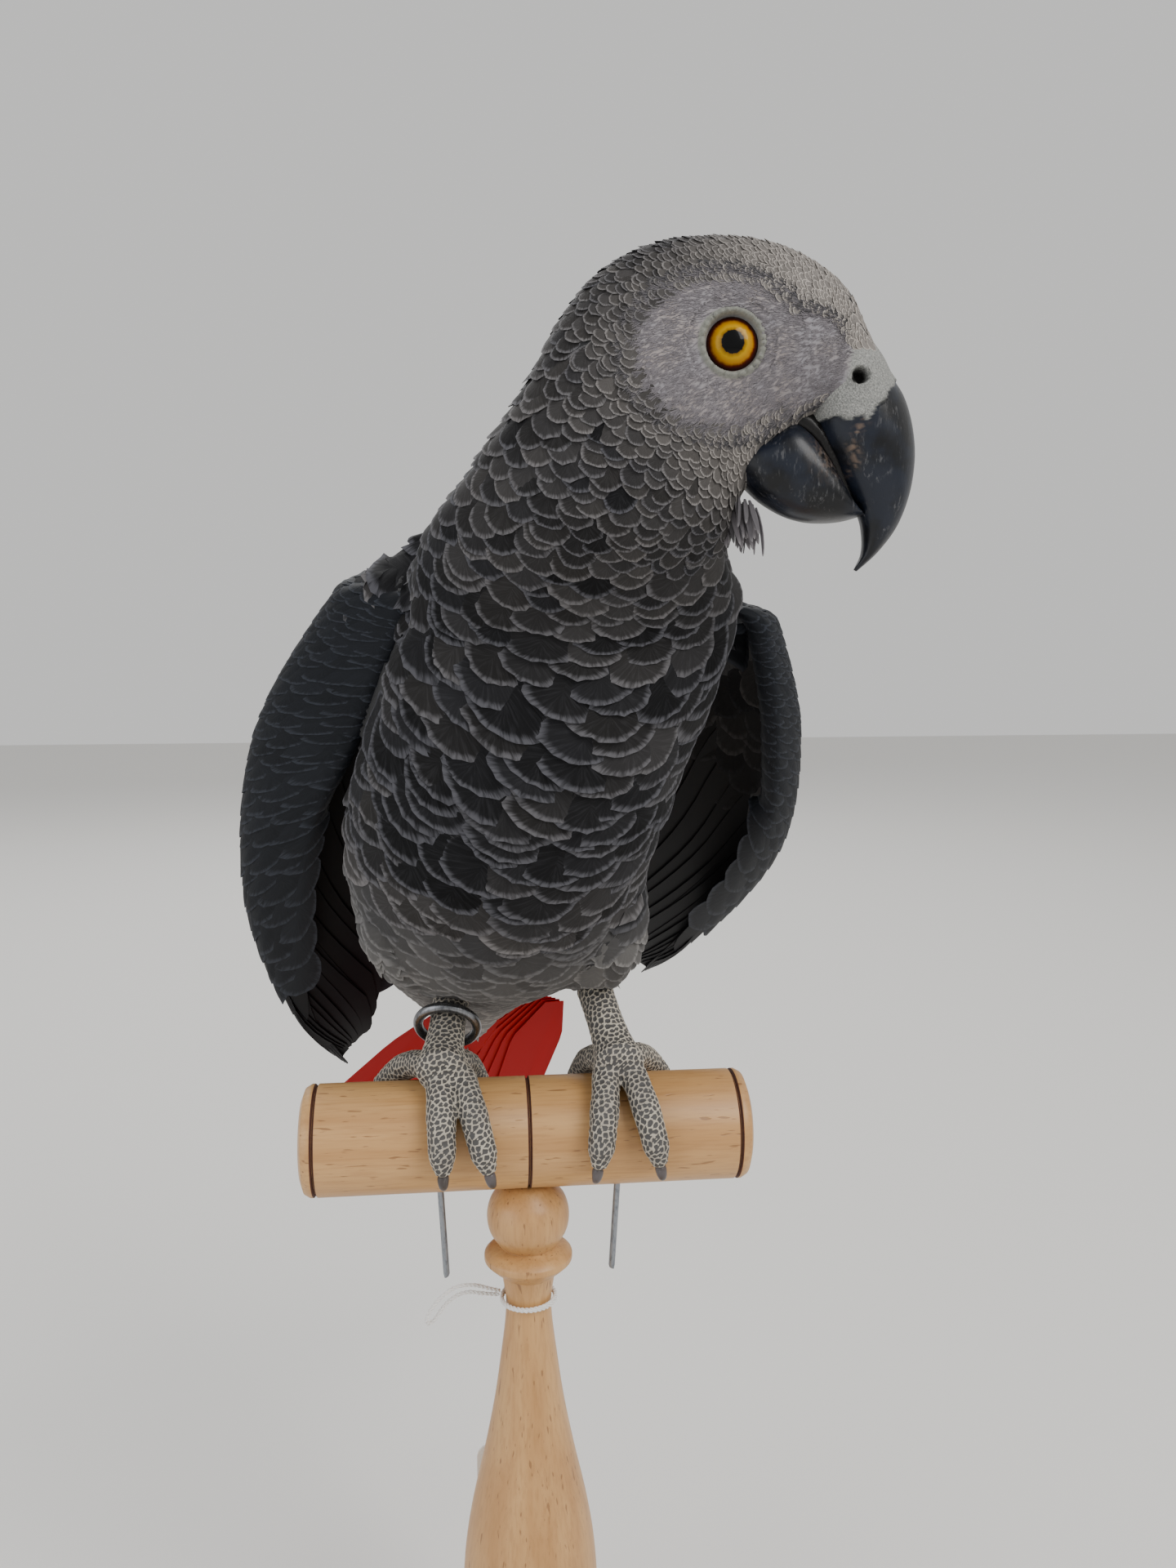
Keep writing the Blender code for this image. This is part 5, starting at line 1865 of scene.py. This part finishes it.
def straight(vane, start, end, up, width, sag):
    """A vane's points from start to end, facing up, its middle raised by sag, a share of its length."""
    flow = end - start
    length = np.linalg.norm(flow)
    across = np.cross(flow / length, up)
    x = vane["points"][:, 0] * width * MM
    share = vane["points"][:, 1]
    rise = sag * length * 4.0 * share * (1.0 - share) - 0.05 * np.abs(x)
    spots = start + np.outer(x, across) + np.outer(share, flow) + np.outer(rise, up)
    spots[vane["under"]] = (spots[~vane["under"]] - up * FLIGHT_THIN * MM)[vane["pair"]]
    return spots


def make_chin(material):
    """A tuft of longer pale bristles that hangs below the chin."""
    coat = Coat()
    vanes = [flight_vane(2, 7, 0.5, 0.8) for _ in range(4)]
    for _ in range(70):
        side = chance.gauss(0.0, 2.6)
        ahead = chance.uniform(-1.5, 6.0)
        up = -24.6 - 0.35 * ahead + chance.uniform(-0.5, 0.5)
        reach = chance.uniform(4.5, 9.5)
        start = np.array(on_head(ahead, side, up))
        ahead += 0.12 * reach + chance.gauss(0.0, 0.9)
        side = side * 1.2 + chance.gauss(0.0, 0.7)
        end = np.array(on_head(ahead, side, up - reach))
        facing = np.array(AHEAD) * chance.gauss(0.3, 0.5) - np.array(LEFT) * chance.gauss(1.0, 0.4)
        flow = (end - start) / np.linalg.norm(end - start)
        facing = facing - flow * (facing @ flow)
        facing /= np.linalg.norm(facing)
        vane = chance.choice(vanes)
        laid = straight(vane, start, end, facing, 1.1, 0.05)
        flat = unwrap(start[None, :], np.array([BODY]))[0]
        coat.add(vane, laid, flat, chance.uniform(0.2, 1.0), chance.random())
    coat.make("chin_tuft", material, "plumage")


def make_tail(material):
    """Twelve red tail feathers, square-ended, fanned and overlapping from the middle outwards."""
    points = coordinates(NODES["tail"].data)
    order = points[:, 1] - points[:, 2]
    root = points[order < order.min() + 6.0 * MM].mean(axis=0)
    tip = points[order > order.max() - 12.0 * MM].mean(axis=0)
    axis = tip - root
    length = np.linalg.norm(axis)
    axis /= length
    left = np.array((0.995, 0.105, 0.0))
    up = np.cross(left, axis)
    up /= np.linalg.norm(up)
    up = up if up[2] > 0 else -up
    coat = Coat()
    count = 12
    for k in range(count):
        share = 2.0 * k / (count - 1) - 1.0
        vane = flight_vane(8, 16, 0.36 if share < 0 else 0.64, 0.10)
        narrow, spread = (25.0, 41.0) if share < 0.0 else (6.0, 24.0)
        start = root + left * share * narrow * MM - axis * 8.0 * MM
        end = root + axis * length * (1.02 - 0.03 * share**4) + left * share * spread * MM
        rise = up * (2.2 - 1.8 * share * share - 0.35 * abs(share)) * MM
        laid = straight(vane, start + rise, end + rise, up, 15.5, 0.0)
        coat.add(vane, laid, np.array((0.1 + 0.4 * (share + 1), 0.5)), 0.0, chance.random())
    coat.make("tail_feathers", material, "tail", "tail")


def main():
    make_camera()
    thread = twine()
    make_cords(thread)
    make_tie(thread)
    make_studio()
    make_stand()
    make_leg_ring(steel("polished steel", linear(128, 129, 132), linear(88, 90, 94), 0.2))
    wire = steel("galvanised wire", linear(150, 154, 160), linear(104, 110, 118), 0.38)
    make_wire("wire_left", wire)
    make_wire("wire_right", wire)
    NODES["tag"].data.materials.clear()
    NODES["tag"].data.materials.append(card())
    glass = iris()
    for side, node in ((-1, "eye_right"), (1, "eye_left")):
        make_eye(side, node, glass)
    black = horn("black horn", linear(11, 12, 15), linear(24, 29, 40), linear(104, 88, 76))
    claw = horn("claw horn", linear(48, 44, 46), linear(78, 74, 78), linear(140, 126, 112))
    make_bill(black)
    make_claws(claw)
    scales = scaled_skin()
    make_foot("foot_left", scales)
    make_foot("foot_right", scales)
    skin, face_zones = make_skin(skin_finish())
    pale = (linear(106, 102, 99), linear(182, 175, 168))
    grey = feather("grey body feathers", linear(13, 13, 14), linear(80, 80, 85), pale, 56.0)
    slate = feather("slate coverts", linear(22, 24, 28), linear(48, 51, 58), pale, 46.0, 0.1)
    # Painted shade: the coverts on the inner side of the wings are near-black, as that side lies in
    # shade.
    under = feather("underwing coverts in painted shade", linear(11, 11, 12), linear(30, 30, 33), pale, 30.0)
    flight = feather("slate flight feathers", linear(13, 13, 15), linear(28, 28, 31), pale, 3.0, 0.14)
    pale = (linear(120, 4, 6), linear(140, 10, 10))
    scarlet = feather("scarlet tail feathers", linear(150, 0, 1), linear(176, 2, 2), pale, 3.0)
    pale = (linear(116, 114, 112), linear(156, 153, 149))
    down = feather("soft belly feathers", linear(26, 26, 28), linear(72, 72, 76), pale, 40.0)
    make_coat(skin, face_zones, grey, {"underwing": under, "shoulder": slate, "down": down})
    pale = (linear(108, 104, 108), linear(162, 157, 160))
    stubble = feather("face stubble", linear(60, 60, 62), linear(84, 84, 86), pale, 2.0)
    make_stubble(skin, face_zones, stubble)
    for side in WING_ZONES:
        make_flight_feathers(side, flight)
        make_wing_coverts(side, slate)
    make_chin(stubble)
    make_tail(scarlet)
    skin.free()


main()
bpy.context.view_layer.update()
